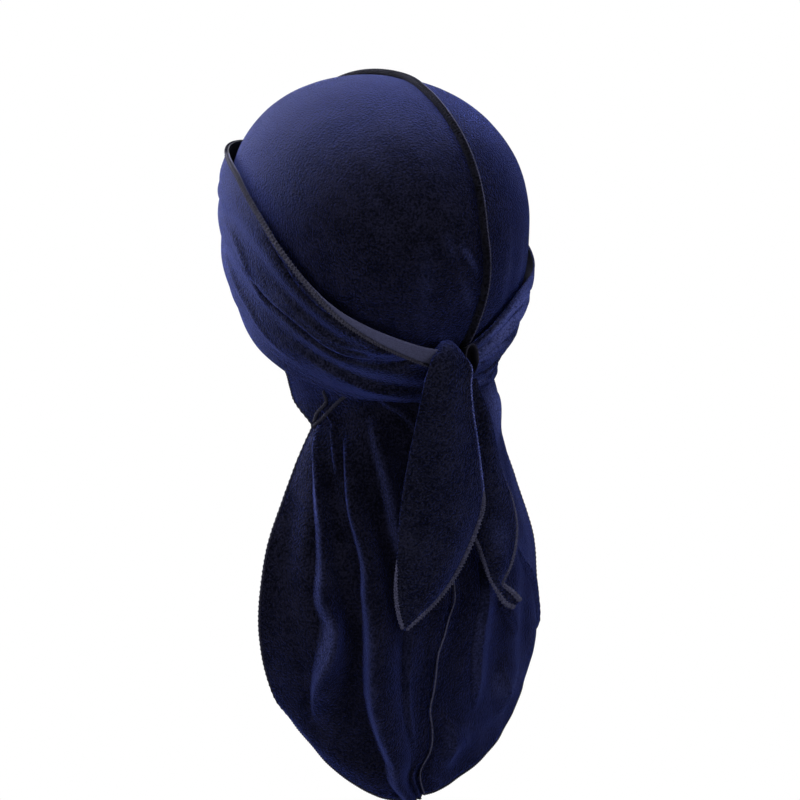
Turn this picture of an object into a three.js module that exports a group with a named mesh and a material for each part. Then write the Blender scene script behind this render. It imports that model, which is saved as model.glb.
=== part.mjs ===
// A velvet durag in its worn form: a two-panel cap with a long tail, a raised
// outside seam down its middle, and two wide straps that are wrapped round the
// head and tied at the back.
// Millimetres. +Z is up, the wearer faces -Y and the wearer's left is +X.
// The origin is the inside of the crown's top, where the head carries the cap.
import * as THREE from 'three';
import { mergeVertices } from 'three/addons/utils/BufferGeometryUtils.js';

// ---------- driving dimensions ----------
const HEAD_BREADTH = 154;        // inside of the cap, ear to ear
const HEAD_LENGTH = 195;         // inside of the cap, forehead to back
const CROWN_HEIGHT = 77;         // from the widest level up to the top
const LOWER_DEPTH = 113;         // from the widest level down to where the head would end
const CROWN_FULLNESS = 2.16;     // exponent of the dome, 2 is an ellipse
const SIDE_FULLNESS = 2.5;       // the same below the widest level, at the sides
const BACK_FULLNESS = 1.86;      // and at the back of the head
const NECK_BREADTH = 110;
const NECK_LENGTH = 116;
const NECK_BLEND = 9;            // exponent of the soft join of head and neck
const NECK_FADE = 2.5;           // how soon the neck takes over below the widest level

const CLOTH = 1;                 // thickness of the velvet
const LAYER_PITCH = 1.6;         // from one wrapped layer to the next
const SEAM_GAP = 0.5;            // between the two panels under the seam
const SEAM_CLEARANCE = 0.35;     // between the panels and the seam's ridge
const TAIL_DROP = 233;           // from the nape to the end of the tail's seam
const NAPE_HEIGHT = -168;        // where the tail starts on the seam

// ---------- small helpers ----------
const DEGREE = Math.PI / 180;
const mix = (from, to, share) => from + (to - from) * share;
const clamp01 = (value) => Math.min(1, Math.max(0, value));
const smooth = (value) => THREE.MathUtils.smoothstep(value, 0, 1);
const softMax = (a, b) => (a ** NECK_BLEND + b ** NECK_BLEND) ** (1 / NECK_BLEND);
const bell = (distance) => (Math.abs(distance) < 1 ? 0.5 + 0.5 * Math.cos(Math.PI * distance) : 0);

// Smooth curve through the rows of a table: every column as a function of the
// first one.
function track(columns, rows) {
  const keys = rows.map((row) => row[0]);
  const last = rows.length - 1;
  const rising = keys[last] > keys[0];
  const slope = (i, c) => {
    const before = Math.max(0, i - 1);
    const after = Math.min(last, i + 1);
    return (rows[after][c] - rows[before][c]) / (keys[after] - keys[before]);
  };
  return (key) => {
    let i = 0;
    while (i < last - 1 && (rising ? key >= keys[i + 1] : key <= keys[i + 1])) i += 1;
    const span = keys[i + 1] - keys[i];
    const s = clamp01((key - keys[i]) / span);
    const s2 = s * s;
    const s3 = s2 * s;
    const result = {};
    columns.forEach((name, c) => {
      result[name] = (2 * s3 - 3 * s2 + 1) * rows[i][c] + (s3 - 2 * s2 + s) * slope(i, c) * span
        + (3 * s2 - 2 * s3) * rows[i + 1][c] + (s3 - s2) * slope(i + 1, c) * span;
    });
    return result;
  };
}

// ---------- the head that the cap is stretched over ----------
// The dome is a full-bodied ellipsoid; below its widest level it narrows to the
// neck. Angles run from the back of the head toward the wearer's left.
function headAxes(height, offset) {
  const rise = height + CROWN_HEIGHT;
  const upper = rise >= 0;
  const level = clamp01(Math.abs(rise) / ((upper ? CROWN_HEIGHT : LOWER_DEPTH) + offset));
  const sideShape = upper ? CROWN_FULLNESS : SIDE_FULLNESS;
  const backShape = upper ? CROWN_FULLNESS : BACK_FULLNESS;
  const side = (1 - level ** sideShape) ** (1 / sideShape);
  const back = (1 - level ** backShape) ** (1 / backShape);
  const neck = upper ? 0 : clamp01(level * NECK_FADE);
  return {
    breadth: softMax((HEAD_BREADTH / 2 + offset) * side, neck * (NECK_BREADTH / 2 + offset)),
    length: softMax((HEAD_LENGTH / 2 + offset) * back, neck * (NECK_LENGTH / 2 + offset)),
  };
}

// Below the straps, behind the right ear, the gathered cloth stands off the neck.
const GATHER = { angle: -55, spread: 45, height: -182, rise: 29, depth: 9 };

function gatherAt(angle, height) {
  const around = bell((angle / DEGREE - GATHER.angle) / GATHER.spread);
  return GATHER.depth * around * bell((height - GATHER.height) / GATHER.rise);
}

function headPoint(angle, height, offset) {
  const axes = headAxes(height, offset);
  const turned = Math.atan2(Math.sin(angle), Math.cos(angle));
  const out = gatherAt(turned, height);
  return new THREE.Vector3(
    (axes.breadth + out) * Math.sin(angle), (axes.length + out) * Math.cos(angle), height);
}

// Place on the head that a direction from its middle points at.
function placeAlong(direction) {
  const reach = direction.z >= 0 ? CROWN_HEIGHT : LOWER_DEPTH;
  return {
    angle: Math.atan2(direction.x, direction.y),
    height: -CROWN_HEIGHT + reach * direction.z,
  };
}

function directionAt(angleDegrees, height) {
  const rise = height + CROWN_HEIGHT;
  const level = rise / (rise >= 0 ? CROWN_HEIGHT : LOWER_DEPTH);
  const reach = Math.sqrt(Math.max(0, 1 - level * level));
  const angle = angleDegrees * DEGREE;
  return new THREE.Vector3(reach * Math.sin(angle), reach * Math.cos(angle), level);
}

function slerp(from, to, share) {
  const angle = from.angleTo(to);
  const a = Math.sin((1 - share) * angle) / Math.sin(angle);
  const b = Math.sin(share * angle) / Math.sin(angle);
  return from.clone().multiplyScalar(a).addScaledVector(to, b);
}

// ---------- a cloth wall from a surface ----------
// surface(u, v) gives the inner skin; the outer skin stands CLOTH outside it.
const NORMAL_STEP = 1e-3;

function surfaceNormal(surface, u, v) {
  const u0 = Math.max(0, u - NORMAL_STEP);
  const u1 = Math.min(1, u + NORMAL_STEP);
  const v0 = Math.max(0, v - NORMAL_STEP);
  const v1 = Math.min(1, v + NORMAL_STEP);
  const along = surface(u1, v).sub(surface(u0, v));
  const across = surface(u, v1).sub(surface(u, v0));
  return across.cross(along).normalize();
}

function closedMesh(name, points, triangles, material) {
  const positions = new Float32Array(points.length * 3);
  points.forEach((p, i) => positions.set([p.x, p.y, p.z], i * 3));
  const volume = triangles.reduce((sum, [a, b, c]) => (
    sum + points[a].dot(points[b].clone().cross(points[c]))), 0);
  const index = triangles.flatMap(([a, b, c]) => (volume > 0 ? [a, b, c] : [a, c, b]));
  const geometry = new THREE.BufferGeometry();
  geometry.setAttribute('position', new THREE.BufferAttribute(positions, 3));
  geometry.setIndex(index);
  geometry.computeVertexNormals();
  const mesh = new THREE.Mesh(geometry, material);
  mesh.name = name;
  return mesh;
}

function clothSheet(name, surface, rows, columns, flip, material, thickness = CLOTH) {
  const points = [];
  for (const skin of [0, 1]) {
    for (let i = 0; i <= rows; i += 1) {
      for (let j = 0; j <= columns; j += 1) {
        const u = i / rows;
        const v = j / columns;
        const normal = surfaceNormal(surface, u, v).multiplyScalar(flip);
        points.push(surface(u, v).addScaledVector(normal, skin * thickness));
      }
    }
  }
  const at = (skin, i, j) => (skin * (rows + 1) + i) * (columns + 1) + j;
  const triangles = [];
  const quad = (a, b, c, d) => triangles.push([a, b, c], [a, c, d]);
  for (let i = 0; i < rows; i += 1) {
    for (let j = 0; j < columns; j += 1) {
      quad(at(1, i, j), at(1, i + 1, j), at(1, i + 1, j + 1), at(1, i, j + 1));
      quad(at(0, i, j), at(0, i, j + 1), at(0, i + 1, j + 1), at(0, i + 1, j));
    }
    quad(at(0, i, 0), at(0, i + 1, 0), at(1, i + 1, 0), at(1, i, 0));
    quad(at(1, i, columns), at(1, i + 1, columns), at(0, i + 1, columns), at(0, i, columns));
  }
  for (let j = 0; j < columns; j += 1) {
    quad(at(1, 0, j), at(1, 0, j + 1), at(0, 0, j + 1), at(0, 0, j));
    quad(at(0, rows, j), at(0, rows, j + 1), at(1, rows, j + 1), at(1, rows, j));
  }
  return closedMesh(name, points, triangles, material);
}

// ---------- materials ----------
const NAVY = 0x12163f;
const PANEL_ROUGHNESS = 0.85;
const SEAM_ROUGHNESS = 0.9;
const STRAP_ROUGHNESS = 0.8;
const velvet = (roughness) => new THREE.MeshStandardMaterial({ color: NAVY, roughness, metalness: 0 });

// ---------- cap and tail panels ----------
const CROWN_SHARE = 0.58;        // share of a panel's rows that lies on the head
const LEVEL_FROM = 0.6;          // above this share the rows run over the dome,
const LEVEL_SPREAD = 0.25;       // and over this much more they level out to rings
const JOIN_SPREAD = 0.1;         // over which the head's form passes into the tail
const TAIL_START = -0.1;         // the fall at which the tail's tables start

// The seam over the head: turn from the top toward the back, lean to the left.
const crownSeam = track(['share', 'turn', 'lean'], [
  [0, -97, 0],
  [0.24, -39, -9],
  [0.4, 0, -11],
  [0.47, 16, -7],
  [0.53, 31, -4],
  [0.58, 43, -2.4],
  [0.66, 62, -0.4],
  [0.74, 81, 0.9],
  [0.82, 100, -0.9],
  [0.9, 119, 2],
  [1, 143, 8],
]);

// The panel's outer edge on the head, from the temple down behind the ear.
const crownEdge = track(['share', 'angle', 'height'], [
  [0, 132, -104],
  [0.4, 112, -124],
  [0.68, 94, -146],
  [0.8, 91, -160],
  [0.88, 94, -171],
  [0.94, 93, -180],
  [1, 77, -190],
]);

// The tail below the nape: its seam, and the edge of either side.
const tailSeam = track(['fall', 'x', 'y'], [
  [TAIL_START, 8, 60.2],
  [0, 8, 60.4],
  [0.1, 8, 65.5],
  [0.3, 6, 74],
  [0.5, 7.2, 79],
  [0.6, 15.7, 80],
  [0.67, 20.7, 80],
  [0.75, 23.5, 80],
  [0.88, 24.8, 80],
  [0.94, 31.5, 79],
  [1, 27, 78],
]);

const tailEdge = {
  left: track(['fall', 'x', 'y', 'z'], [
    [TAIL_START, 55, 12, -178],
    [0, 55, 12, -190],
    [0.1, 64.5, 14, -205],
    [0.25, 79, 17, -229],
    [0.4, 91.5, 20, -252],
    [0.55, 99, 23, -276],
    [0.68, 102, 25, -296],
    [0.8, 101, 27, -315],
    [0.88, 98.5, 29, -329],
    [0.94, 94.5, 31, -341],
    [1, 87, 35, -352.5],
  ]),
  right: track(['fall', 'x', 'y', 'z'], [
    [TAIL_START, -58, 13, -178],
    [0, -60, 15.5, -190],
    [0.1, -66, 20, -206],
    [0.25, -76, 24, -231],
    [0.4, -84, 27, -256],
    [0.55, -91, 30, -281],
    [0.68, -93, 31, -303],
    [0.8, -92, 33, -322],
    [0.88, -89, 34, -335],
    [0.94, -85, 36, -345],
    [1, -78, 40, -355],
  ]),
};

const BOTTOM_DIP = { left: 3, right: -1 };   // how far the bottom hem sags
const ROW_BEND = 1;                          // added to the exponent of a row's rise
const NAPE_OPENING = 88;                     // half the arc of the tail's section, at the nape
const TAIL_OPENING = 58;                     // and where it hangs free
const OPENING_SPREAD = 0.35;                 // over which the one passes into the other

// Soft folds of the hanging tail, each a swell along a slanting line.
const tailFolds = [
  ['left', 0.02, 0.96, 0.92, 0.56, 0.14, 3.4],
  ['left', 0.04, 1.1, 0.66, 0.12, 0.16, 4.2],
  ['left', -0.02, 0.6, 0.48, 0.22, 0.15, 2.6],
  ['right', 0.3, 0.95, 0.18, 0.24, 0.16, 3],
  ['right', 0.1, 0.9, 0.3, 0.6, 0.15, 3.2],
  ['right', 0.35, 1.05, 0.5, 0.95, 0.14, 3],
].map(([side, from, to, upper, lower, reach, height]) => (
  { side, from, to, upper, lower, reach, height }));

function foldSwell(side, fall, across) {
  let total = 0;
  for (const fold of tailFolds) {
    if (fold.side !== side) continue;
    const s = clamp01((fall - fold.from) / (fold.to - fold.from));
    const middle = mix(fold.upper, fold.lower, s);
    total += fold.height * Math.sin(Math.PI * s) * bell((across - middle) / fold.reach);
  }
  return total;
}

function crownPoint(side, share, across) {
  const sign = side === 'left' ? 1 : -1;
  const seam = crownSeam(share);
  const lean = seam.lean * DEGREE;
  const turn = seam.turn * DEGREE;
  const start = new THREE.Vector3(
    Math.sin(lean), Math.cos(lean) * Math.sin(turn), Math.cos(lean) * Math.cos(turn));
  const edge = crownEdge(share);
  const level = smooth((share - LEVEL_FROM) / LEVEL_SPREAD);
  const first = placeAlong(start);
  let angle = mix(first.angle, sign * edge.angle * DEGREE, across);
  let height = mix(first.height, edge.height, across);
  if (level < 1) {
    const over = placeAlong(slerp(start, directionAt(sign * edge.angle, edge.height), across));
    angle = mix(over.angle, angle, level);
    height = mix(over.height, height, level);
  }
  return headPoint(angle, height, 0);
}

function tailPoint(side, fall, across) {
  const seam = tailSeam(fall);
  const edge = tailEdge[side](fall);
  const opening = mix(NAPE_OPENING, TAIL_OPENING, smooth(fall / OPENING_SPREAD)) * DEGREE;
  const turn = across * opening;
  const reach = Math.sin(turn) / Math.sin(opening);
  const bow = (Math.cos(turn) - Math.cos(opening)) / (1 - Math.cos(opening));
  const seamHeight = NAPE_HEIGHT - TAIL_DROP * fall;
  const rise = across ** (1 + ROW_BEND * smooth(fall));
  const dip = BOTTOM_DIP[side] * smooth(fall) * Math.sin(Math.PI * across);
  const x = mix(seam.x, edge.x, reach);
  const y = mix(edge.y, seam.y, bow);
  const z = mix(seamHeight, edge.z, rise) - dip;
  const swell = foldSwell(side, fall, across) + gatherAt(Math.atan2(x, y), z);
  const outward = side === 'left' ? turn : -turn;
  return new THREE.Vector3(x + swell * Math.sin(outward), y + swell * Math.cos(outward), z);
}

function panelPoint(side, along, across) {
  const sign = side === 'left' ? 1 : -1;
  const share = along / CROWN_SHARE;
  const fall = (along - CROWN_SHARE) / (1 - CROWN_SHARE);
  const joined = smooth(0.5 + (share - 1) / (2 * JOIN_SPREAD));
  let point;
  if (joined <= 0) point = crownPoint(side, share, across);
  else if (joined >= 1) point = tailPoint(side, fall, across);
  else {
    point = crownPoint(side, Math.min(share, 1), across)
      .lerp(tailPoint(side, Math.max(fall, TAIL_START), across), joined);
  }
  point.x += sign * SEAM_GAP / 2;
  return point;
}

const PANEL_ROWS = 42;
const PANEL_COLUMNS = 12;
const NAPE_ROW = 0.55;           // where a panel's rows lie closest together
const ROW_CROWDING = 0.35;       // and how much closer, as a share

function panel(side) {
  const flip = side === 'left' ? 1 : -1;
  const crowd = (u) => Math.sin(2 * Math.PI * (u - NAPE_ROW)) / (2 * Math.PI);
  const rowAt = (u) => u - ROW_CROWDING * (crowd(u) - crowd(0));
  const surface = (u, v) => panelPoint(side, rowAt(u), v);
  return clothSheet(`${side}_panel`, surface, PANEL_ROWS, PANEL_COLUMNS, flip, velvet(PANEL_ROUGHNESS));
}

// ---------- the raised seam down the middle ----------
// A closed ridge that stands on the outside of the panels, over
// the gap between them. from and to are shares of a panel's length.
const CROWN_SEAM = { from: 0.073, to: 0.52, steps: 34, width: 3.2, height: 3 };
const TAIL_SEAM = { from: 0.61, to: 1, steps: 28, width: 2.4, height: 2.2 };

const RIDGE_CORNERS = 8;
const BESIDE = 0.02;             // how far into the panels their slope is taken

function ridge(name, { from, to, steps, width, height }) {
  const corners = RIDGE_CORNERS;
  const points = [];
  for (let i = 0; i <= steps; i += 1) {
    const along = mix(from, to, i / steps);
    const left = panelPoint('left', along, 0);
    const right = panelPoint('right', along, 0);
    const ahead = panelPoint('left', along + NORMAL_STEP, 0).sub(left).normalize();
    const beside = panelPoint('left', along, BESIDE)
      .sub(panelPoint('right', along, BESIDE)).normalize();
    const outward = beside.clone().cross(ahead).normalize();
    const sideways = outward.clone().cross(ahead).normalize();
    const middle = left.add(right).multiplyScalar(0.5)
      .addScaledVector(outward, CLOTH + SEAM_CLEARANCE + height / 2);
    for (let k = 0; k < corners; k += 1) {
      const turn = (k + 0.5) / corners * 2 * Math.PI;
      points.push(middle.clone()
        .addScaledVector(sideways, width / 2 * Math.cos(turn) / Math.cos(Math.PI / corners))
        .addScaledVector(outward, height / 2 * Math.sin(turn) / Math.cos(Math.PI / corners)));
    }
  }
  const triangles = [];
  for (let i = 0; i < steps; i += 1) {
    for (let k = 0; k < corners; k += 1) {
      const a = i * corners + k;
      const b = i * corners + (k + 1) % corners;
      triangles.push([a, b, b + corners], [a, b + corners, a + corners]);
    }
  }
  const last = steps * corners;
  for (let k = 1; k < corners - 1; k += 1) {
    triangles.push([0, k + 1, k], [last, last + k, last + k + 1]);
  }
  return closedMesh(name, points, triangles, velvet(SEAM_ROUGHNESS));
}

// ---------- straps ----------
// Each strap starts at its own temple, runs back along its own side, crosses at
// the nape, runs forward on the far side, crosses on the forehead and comes back
// along its own side to the knot. Angles are counted on its own side.
const STRAP_COLUMNS = ['angle', 'middle', 'width', 'layer', 'pleat'];

const strapRoute = {
  left: track(STRAP_COLUMNS, [
    [125, -104, 50, 1, 0],
    [105, -120, 48, 1, 0],
    [90, -130, 42, 1, 0],
    [60, -144, 26, 1, 0],
    [30, -153, 20, 1, 0],
    [12, -157, 16, 1, 0],
    [0, -159, 16, 1, 0],
    [-12, -163, 15, 1, 0],
    [-20, -166, 13, 1.3, 0],
    [-30, -166, 14, 2, 0],
    [-45, -158, 24, 2, 0],
    [-60, -150, 36, 2, 0],
    [-91, -129, 50, 2, 0],
    [-110, -118, 54, 2, 0],
    [-128, -108, 50, 2, 0],
    [-145, -98, 36, 2, 0],
    [-157, -92, 28, 2.5, 0],
    [-164, -89, 30, 3, 0],
    [-168, -86, 34, 3, 0],
    [-180, -78, 46, 3, 0.5],
    [-210, -76, 64, 3, 1],
    [-232, -80.5, 75, 3, 1.5],
    [-250, -87.5, 81, 3, 1.8],
    [-258, -92.5, 81, 3, 2],
    [-271.5, -103.5, 79, 3, 2],
    [-282.7, -114.5, 69, 3, 2.2],
    [-293, -124.5, 59, 3, 2.4],
    [-303, -133.3, 51.3, 3, 2.6],
    [-316, -141.8, 43.5, 3, 2.6],
    [-328, -147.2, 36.5, 3, 2],
    [-341, -151.5, 31, 3, 1],
    [-349, -151.3, 27.5, 3, 0.3],
  ]),
  right: track(STRAP_COLUMNS, [
    [125, -104, 50, 1, 0],
    [105, -120, 50, 1, 0],
    [90, -130, 48, 1, 0],
    [60, -142, 34, 1, 0],
    [40, -149, 20, 1, 0],
    [30, -150, 14, 1.3, 0],
    [20, -150, 14, 2, 0],
    [10, -152, 16, 2, 0],
    [0, -156, 18, 2, 0],
    [-13, -160, 20, 2, 0],
    [-26, -158, 19, 2, 0],
    [-41, -156, 22, 2, 0],
    [-54, -151, 29, 2, 0],
    [-63, -146, 31, 2, 0],
    [-73, -140, 37, 2, 0],
    [-83, -134, 46, 2, 0],
    [-91, -129, 50, 2, 0],
    [-110, -118, 56, 2, 0],
    [-128, -106, 54, 2, 0],
    [-150, -88, 48, 2, 0],
    [-180, -76, 44, 2, 0],
    [-192, -66, 36, 2, 0],
    [-197, -60, 31, 2, 0],
    [-203, -56, 28, 2.5, 0],
    [-215, -60, 36, 3, 0.5],
    [-235, -84, 64, 3, 1],
    [-255, -100, 57, 3, 1],
    [-275, -111.5, 49, 3, 0.8],
    [-296, -119.5, 47, 3, 0.6],
    [-315, -125.5, 48, 3, 0.8],
    [-330, -127.5, 49, 3, 1.2],
    [-340, -130, 44, 3, 1.6],
    [-347, -134.5, 37, 3, 1.8],
    [-355, -140.5, 29, 3, 1.4],
    [-363, -145.5, 23, 3, 0.3],
  ]),
};
const STRAP_SPAN = { left: [125, -349], right: [125, -363] };
const PLEATS = 3;                // soft pleats across a strap's width

function strapPoint(side, along, across) {
  const sign = side === 'left' ? 1 : -1;
  const [first, last] = STRAP_SPAN[side];
  const station = strapRoute[side](mix(first, last, along));
  const height = station.middle + (across - 0.5) * station.width;
  const fold = 0.5 - 0.5 * Math.cos(2 * Math.PI * PLEATS * across);
  const offset = station.layer * LAYER_PITCH + station.pleat * fold;
  return headPoint(sign * mix(first, last, along) * DEGREE, height, offset);
}

const STRAP_ROWS = 56;
const STRAP_COLUMNS_ACROSS = 6;

function strap(side) {
  const flip = side === 'left' ? -1 : 1;
  const surface = (u, v) => strapPoint(side, u, v);
  const cloth = velvet(STRAP_ROUGHNESS);
  return clothSheet(`strap_${side}`, surface, STRAP_ROWS, STRAP_COLUMNS_ACROSS, flip, cloth);
}

// ---------- knot and free ends ----------
// They are laid out round the knot: out is the distance from the head's axis
// toward the knot, aside is to the wearer's left of it.
const KNOT_ANGLE = 12;
const KNOT = { out: 88.4, aside: 0, height: -148, depth: 13.6, width: 24, tall: 26, lean: 0.4 };
const KNOT_STEPS = { around: 18, upward: 11 };
const KNOT_CREASES = 3;
const CREASE_DEPTH = 0.1;        // share of the knot's size
const CREASE_SLANT = 0.5;

function knotSpace(out, aside, height) {
  const angle = KNOT_ANGLE * DEGREE;
  return new THREE.Vector3(
    out * Math.sin(angle) + aside * Math.cos(angle),
    out * Math.cos(angle) - aside * Math.sin(angle),
    height,
  );
}

function knot() {
  const ball = new THREE.SphereGeometry(1, KNOT_STEPS.around, KNOT_STEPS.upward);
  ball.deleteAttribute('normal');
  ball.deleteAttribute('uv');
  const merged = mergeVertices(ball);
  const spots = merged.attributes.position;
  for (let i = 0; i < spots.count; i += 1) {
    const p = new THREE.Vector3().fromBufferAttribute(spots, i);
    const slant = p.x + CREASE_SLANT * p.y;
    const crease = 0.5 - 0.5 * Math.cos(Math.PI * KNOT_CREASES * slant);
    const size = 1 - CREASE_DEPTH * crease;
    const placed = knotSpace(
      KNOT.out + size * (KNOT.depth * p.z + KNOT.lean * KNOT.tall * p.y) / 2,
      KNOT.aside + size * KNOT.width * p.x / 2,
      KNOT.height + size * KNOT.tall * p.y / 2,
    );
    spots.setXYZ(i, placed.x, placed.y, placed.z);
  }
  // aside, height and out are a left-handed set, so the faces are turned round
  const order = merged.index.array;
  for (let i = 0; i < order.length; i += 3) {
    const first = order[i];
    order[i] = order[i + 1];
    order[i + 1] = first;
  }
  merged.computeVertexNormals();
  const mesh = new THREE.Mesh(merged, velvet(STRAP_ROUGHNESS));
  mesh.name = 'knot';
  return mesh;
}

// A free end, from the knot to the tip: its two edges and their heights, its distance
// out, how far its edges curl in and how far they droop beside its middle.
const END_COLUMNS = ['run', 'left', 'leftHeight', 'right', 'rightHeight', 'out', 'curl', 'droop'];

const endShape = {
  left: track(END_COLUMNS, [
    [0, 6, -131.5, -6, -131.5, 86.2, 0, 5],
    [0.02, 6.6, -129, -6.6, -129, 88.6, 0.2, 6.5],
    [0.05, 8, -128, -8.6, -128.2, 91.8, 0.5, 8],
    [0.09, 10.6, -130.5, -10.4, -132, 95.3, 0.8, 6.5],
    [0.14, 13.8, -138, -12.8, -140, 97.3, 1, 3.5],
    [0.21, 16.4, -149, -12.4, -153, 98, 1.5, 1],
    [0.3, 19.4, -165.6, -14.4, -170, 98, 2.5, 0],
    [0.4, 22.4, -184, -18.2, -189, 97.3, 4, 0],
    [0.5, 25, -202, -21.4, -207, 96.5, 5, 0],
    [0.6, 27.3, -220, -23.6, -222.5, 95.8, 6, 0],
    [0.68, 28.4, -236, -21.8, -235, 95, 6, 0],
    [0.76, 29.5, -251, -13, -255, 94.3, 5, 0],
    [0.84, 30.4, -266, -3, -270.5, 93.6, 4, 0],
    [0.91, 30.2, -277, 7.5, -280.5, 93, 2.5, 0],
    [0.96, 29, -285, 16.5, -287, 92.4, 1.2, 0],
    [1, 27, -293, 25.4, -293.8, 91.8, 0.4, 0],
  ]),
  right: track(END_COLUMNS, [
    [0, -14.5, -154, -20.8, -153, 86, 0.2, 0],
    [0.08, -12, -164, -24.1, -163, 87, 0.8, 0],
    [0.16, -9.5, -176, -28.7, -174.5, 88, 1.5, 0],
    [0.28, -8, -192, -32.9, -191, 88, 2.5, 0],
    [0.4, -9, -210, -38, -210, 87.5, 3.5, 0],
    [0.52, -13, -228, -44.9, -228.5, 87, 4, 0],
    [0.61, -17.8, -240, -48.2, -243.5, 86.5, 4, 0],
    [0.7, -23.4, -251, -47.4, -257.5, 86, 3, 0],
    [0.78, -27.5, -262.2, -44.2, -269.3, 85.5, 2, 0],
    [0.86, -31, -272.5, -39.6, -276.8, 85, 1, 0],
    [0.91, -35.3, -281, -39, -279, 84.7, 0.3, 0],
    [0.96, -41, -290.5, -45.4, -284.8, 84.2, 0, 0],
    [1, -47.5, -294.4, -51, -291.2, 84, 0, 0],
  ]),
};

function endPoint(side, along, across) {
  const row = endShape[side](along);
  const bow = (2 * across - 1) ** 2;
  return knotSpace(
    row.out - row.curl * bow,
    mix(row.right, row.left, across),
    mix(row.rightHeight, row.leftHeight, across) - row.droop * bow,
  );
}

const END_ROWS = 22;
const END_COLUMNS_ACROSS = 4;

function strapEnd(side) {
  const surface = (u, v) => endPoint(side, u, v);
  const cloth = velvet(STRAP_ROUGHNESS);
  return clothSheet(`strap_${side}_end`, surface, END_ROWS, END_COLUMNS_ACROSS, 1, cloth);
}

// ---------- the whole durag ----------
const durag = new THREE.Group();
durag.add(
  panel('left'),
  panel('right'),
  ridge('crown_seam', CROWN_SEAM),
  ridge('tail_seam', TAIL_SEAM),
  strap('left'),
  strap('right'),
  knot(),
  strapEnd('left'),
  strapEnd('right'),
);

export default durag;
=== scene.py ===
"""Looks of a dark navy velvet durag in its worn form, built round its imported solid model."""

import math

import bmesh
import bpy
from mathutils import Matrix, Vector, noise


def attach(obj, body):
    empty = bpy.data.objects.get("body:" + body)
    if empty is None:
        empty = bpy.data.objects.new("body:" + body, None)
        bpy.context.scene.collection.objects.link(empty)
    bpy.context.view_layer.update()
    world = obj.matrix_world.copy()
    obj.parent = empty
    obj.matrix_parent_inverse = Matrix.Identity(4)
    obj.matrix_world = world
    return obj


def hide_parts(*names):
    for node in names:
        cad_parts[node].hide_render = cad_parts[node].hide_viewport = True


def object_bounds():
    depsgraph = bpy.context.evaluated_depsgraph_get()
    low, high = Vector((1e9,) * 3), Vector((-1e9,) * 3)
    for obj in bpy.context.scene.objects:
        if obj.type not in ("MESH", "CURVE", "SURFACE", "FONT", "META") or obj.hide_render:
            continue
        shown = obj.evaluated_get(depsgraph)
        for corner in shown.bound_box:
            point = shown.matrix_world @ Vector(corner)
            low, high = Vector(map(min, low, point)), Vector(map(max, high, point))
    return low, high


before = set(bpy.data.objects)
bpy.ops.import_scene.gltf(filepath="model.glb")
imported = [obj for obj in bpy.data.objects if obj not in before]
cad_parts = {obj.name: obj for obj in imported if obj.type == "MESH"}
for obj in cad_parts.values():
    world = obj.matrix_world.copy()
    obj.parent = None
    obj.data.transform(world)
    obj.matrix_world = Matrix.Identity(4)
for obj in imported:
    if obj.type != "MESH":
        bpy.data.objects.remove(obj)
cad_low, cad_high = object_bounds()

MM = 0.001

# ---------- camera ----------
CAMERA_AT = Vector((1.1527, 1.5511, 0.4253))
CAMERA_BACK = Vector((0.5736, 0.7612, 0.3024))
CAMERA_RIGHT = Vector((-0.7986, 0.6018, 0.0))
CAMERA_LENS = 157.6
CAMERA_SENSOR = 36.0
CAMERA_NEAR, CAMERA_FAR = 0.05, 50


def make_camera():
    data = bpy.data.cameras.new("camera")
    data.lens = CAMERA_LENS
    data.sensor_width = CAMERA_SENSOR
    data.clip_start = CAMERA_NEAR
    data.clip_end = CAMERA_FAR
    camera = bpy.data.objects.new("camera", data)
    bpy.context.scene.collection.objects.link(camera)
    back = CAMERA_BACK.normalized()
    right = CAMERA_RIGHT.normalized()
    up = back.cross(right)
    turn = Matrix((right, up, back)).transposed().to_4x4()
    camera.matrix_world = Matrix.Translation(CAMERA_AT) @ turn
    bpy.context.scene.camera = camera


make_camera()

# ---------- driving dimensions, millimetres ----------
HEAD_BREADTH = 154     # inside of the cap, ear to ear
HEAD_LENGTH = 195      # inside of the cap, forehead to back
CROWN_HEIGHT = 77      # from the widest level up to the top
LOWER_DEPTH = 113      # from the widest level down to where the head would end
CROWN_FULLNESS = 2.16  # exponent of the dome, 2 is an ellipse
SIDE_FULLNESS = 2.5    # the same below the widest level, at the sides
BACK_FULLNESS = 1.86   # and at the back
NECK_BREADTH = 110
NECK_LENGTH = 116
NECK_BLEND = 9         # exponent of the soft join of head and neck
NECK_FADE = 2.5        # how soon the neck takes over below the widest level
CLOTH = 1.0            # thickness of the velvet
LAYER_PITCH = 1.6      # from one wrapped layer to the next
SEAM_GAP = 0.08        # between the two panels under the seam
SEAM_CLEARANCE = 0.35  # between the panels and a seam's ridge
TAIL_DROP = 233        # from the nape to the end of the tail's seam
NAPE_HEIGHT = -168     # where the tail starts on the seam
SIDES = ("left", "right")
SIGN = {"left": 1, "right": -1}


def mix(a, b, share):
    return a + (b - a) * share


def clamp01(value):
    return min(1.0, max(0.0, value))


def smooth(value):
    s = clamp01(value)
    return s * s * (3 - 2 * s)


def soft_max(a, b):
    return (a ** NECK_BLEND + b ** NECK_BLEND) ** (1 / NECK_BLEND)


def bell(distance):
    return 0.5 + 0.5 * math.cos(math.pi * distance) if abs(distance) < 1 else 0.0


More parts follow.
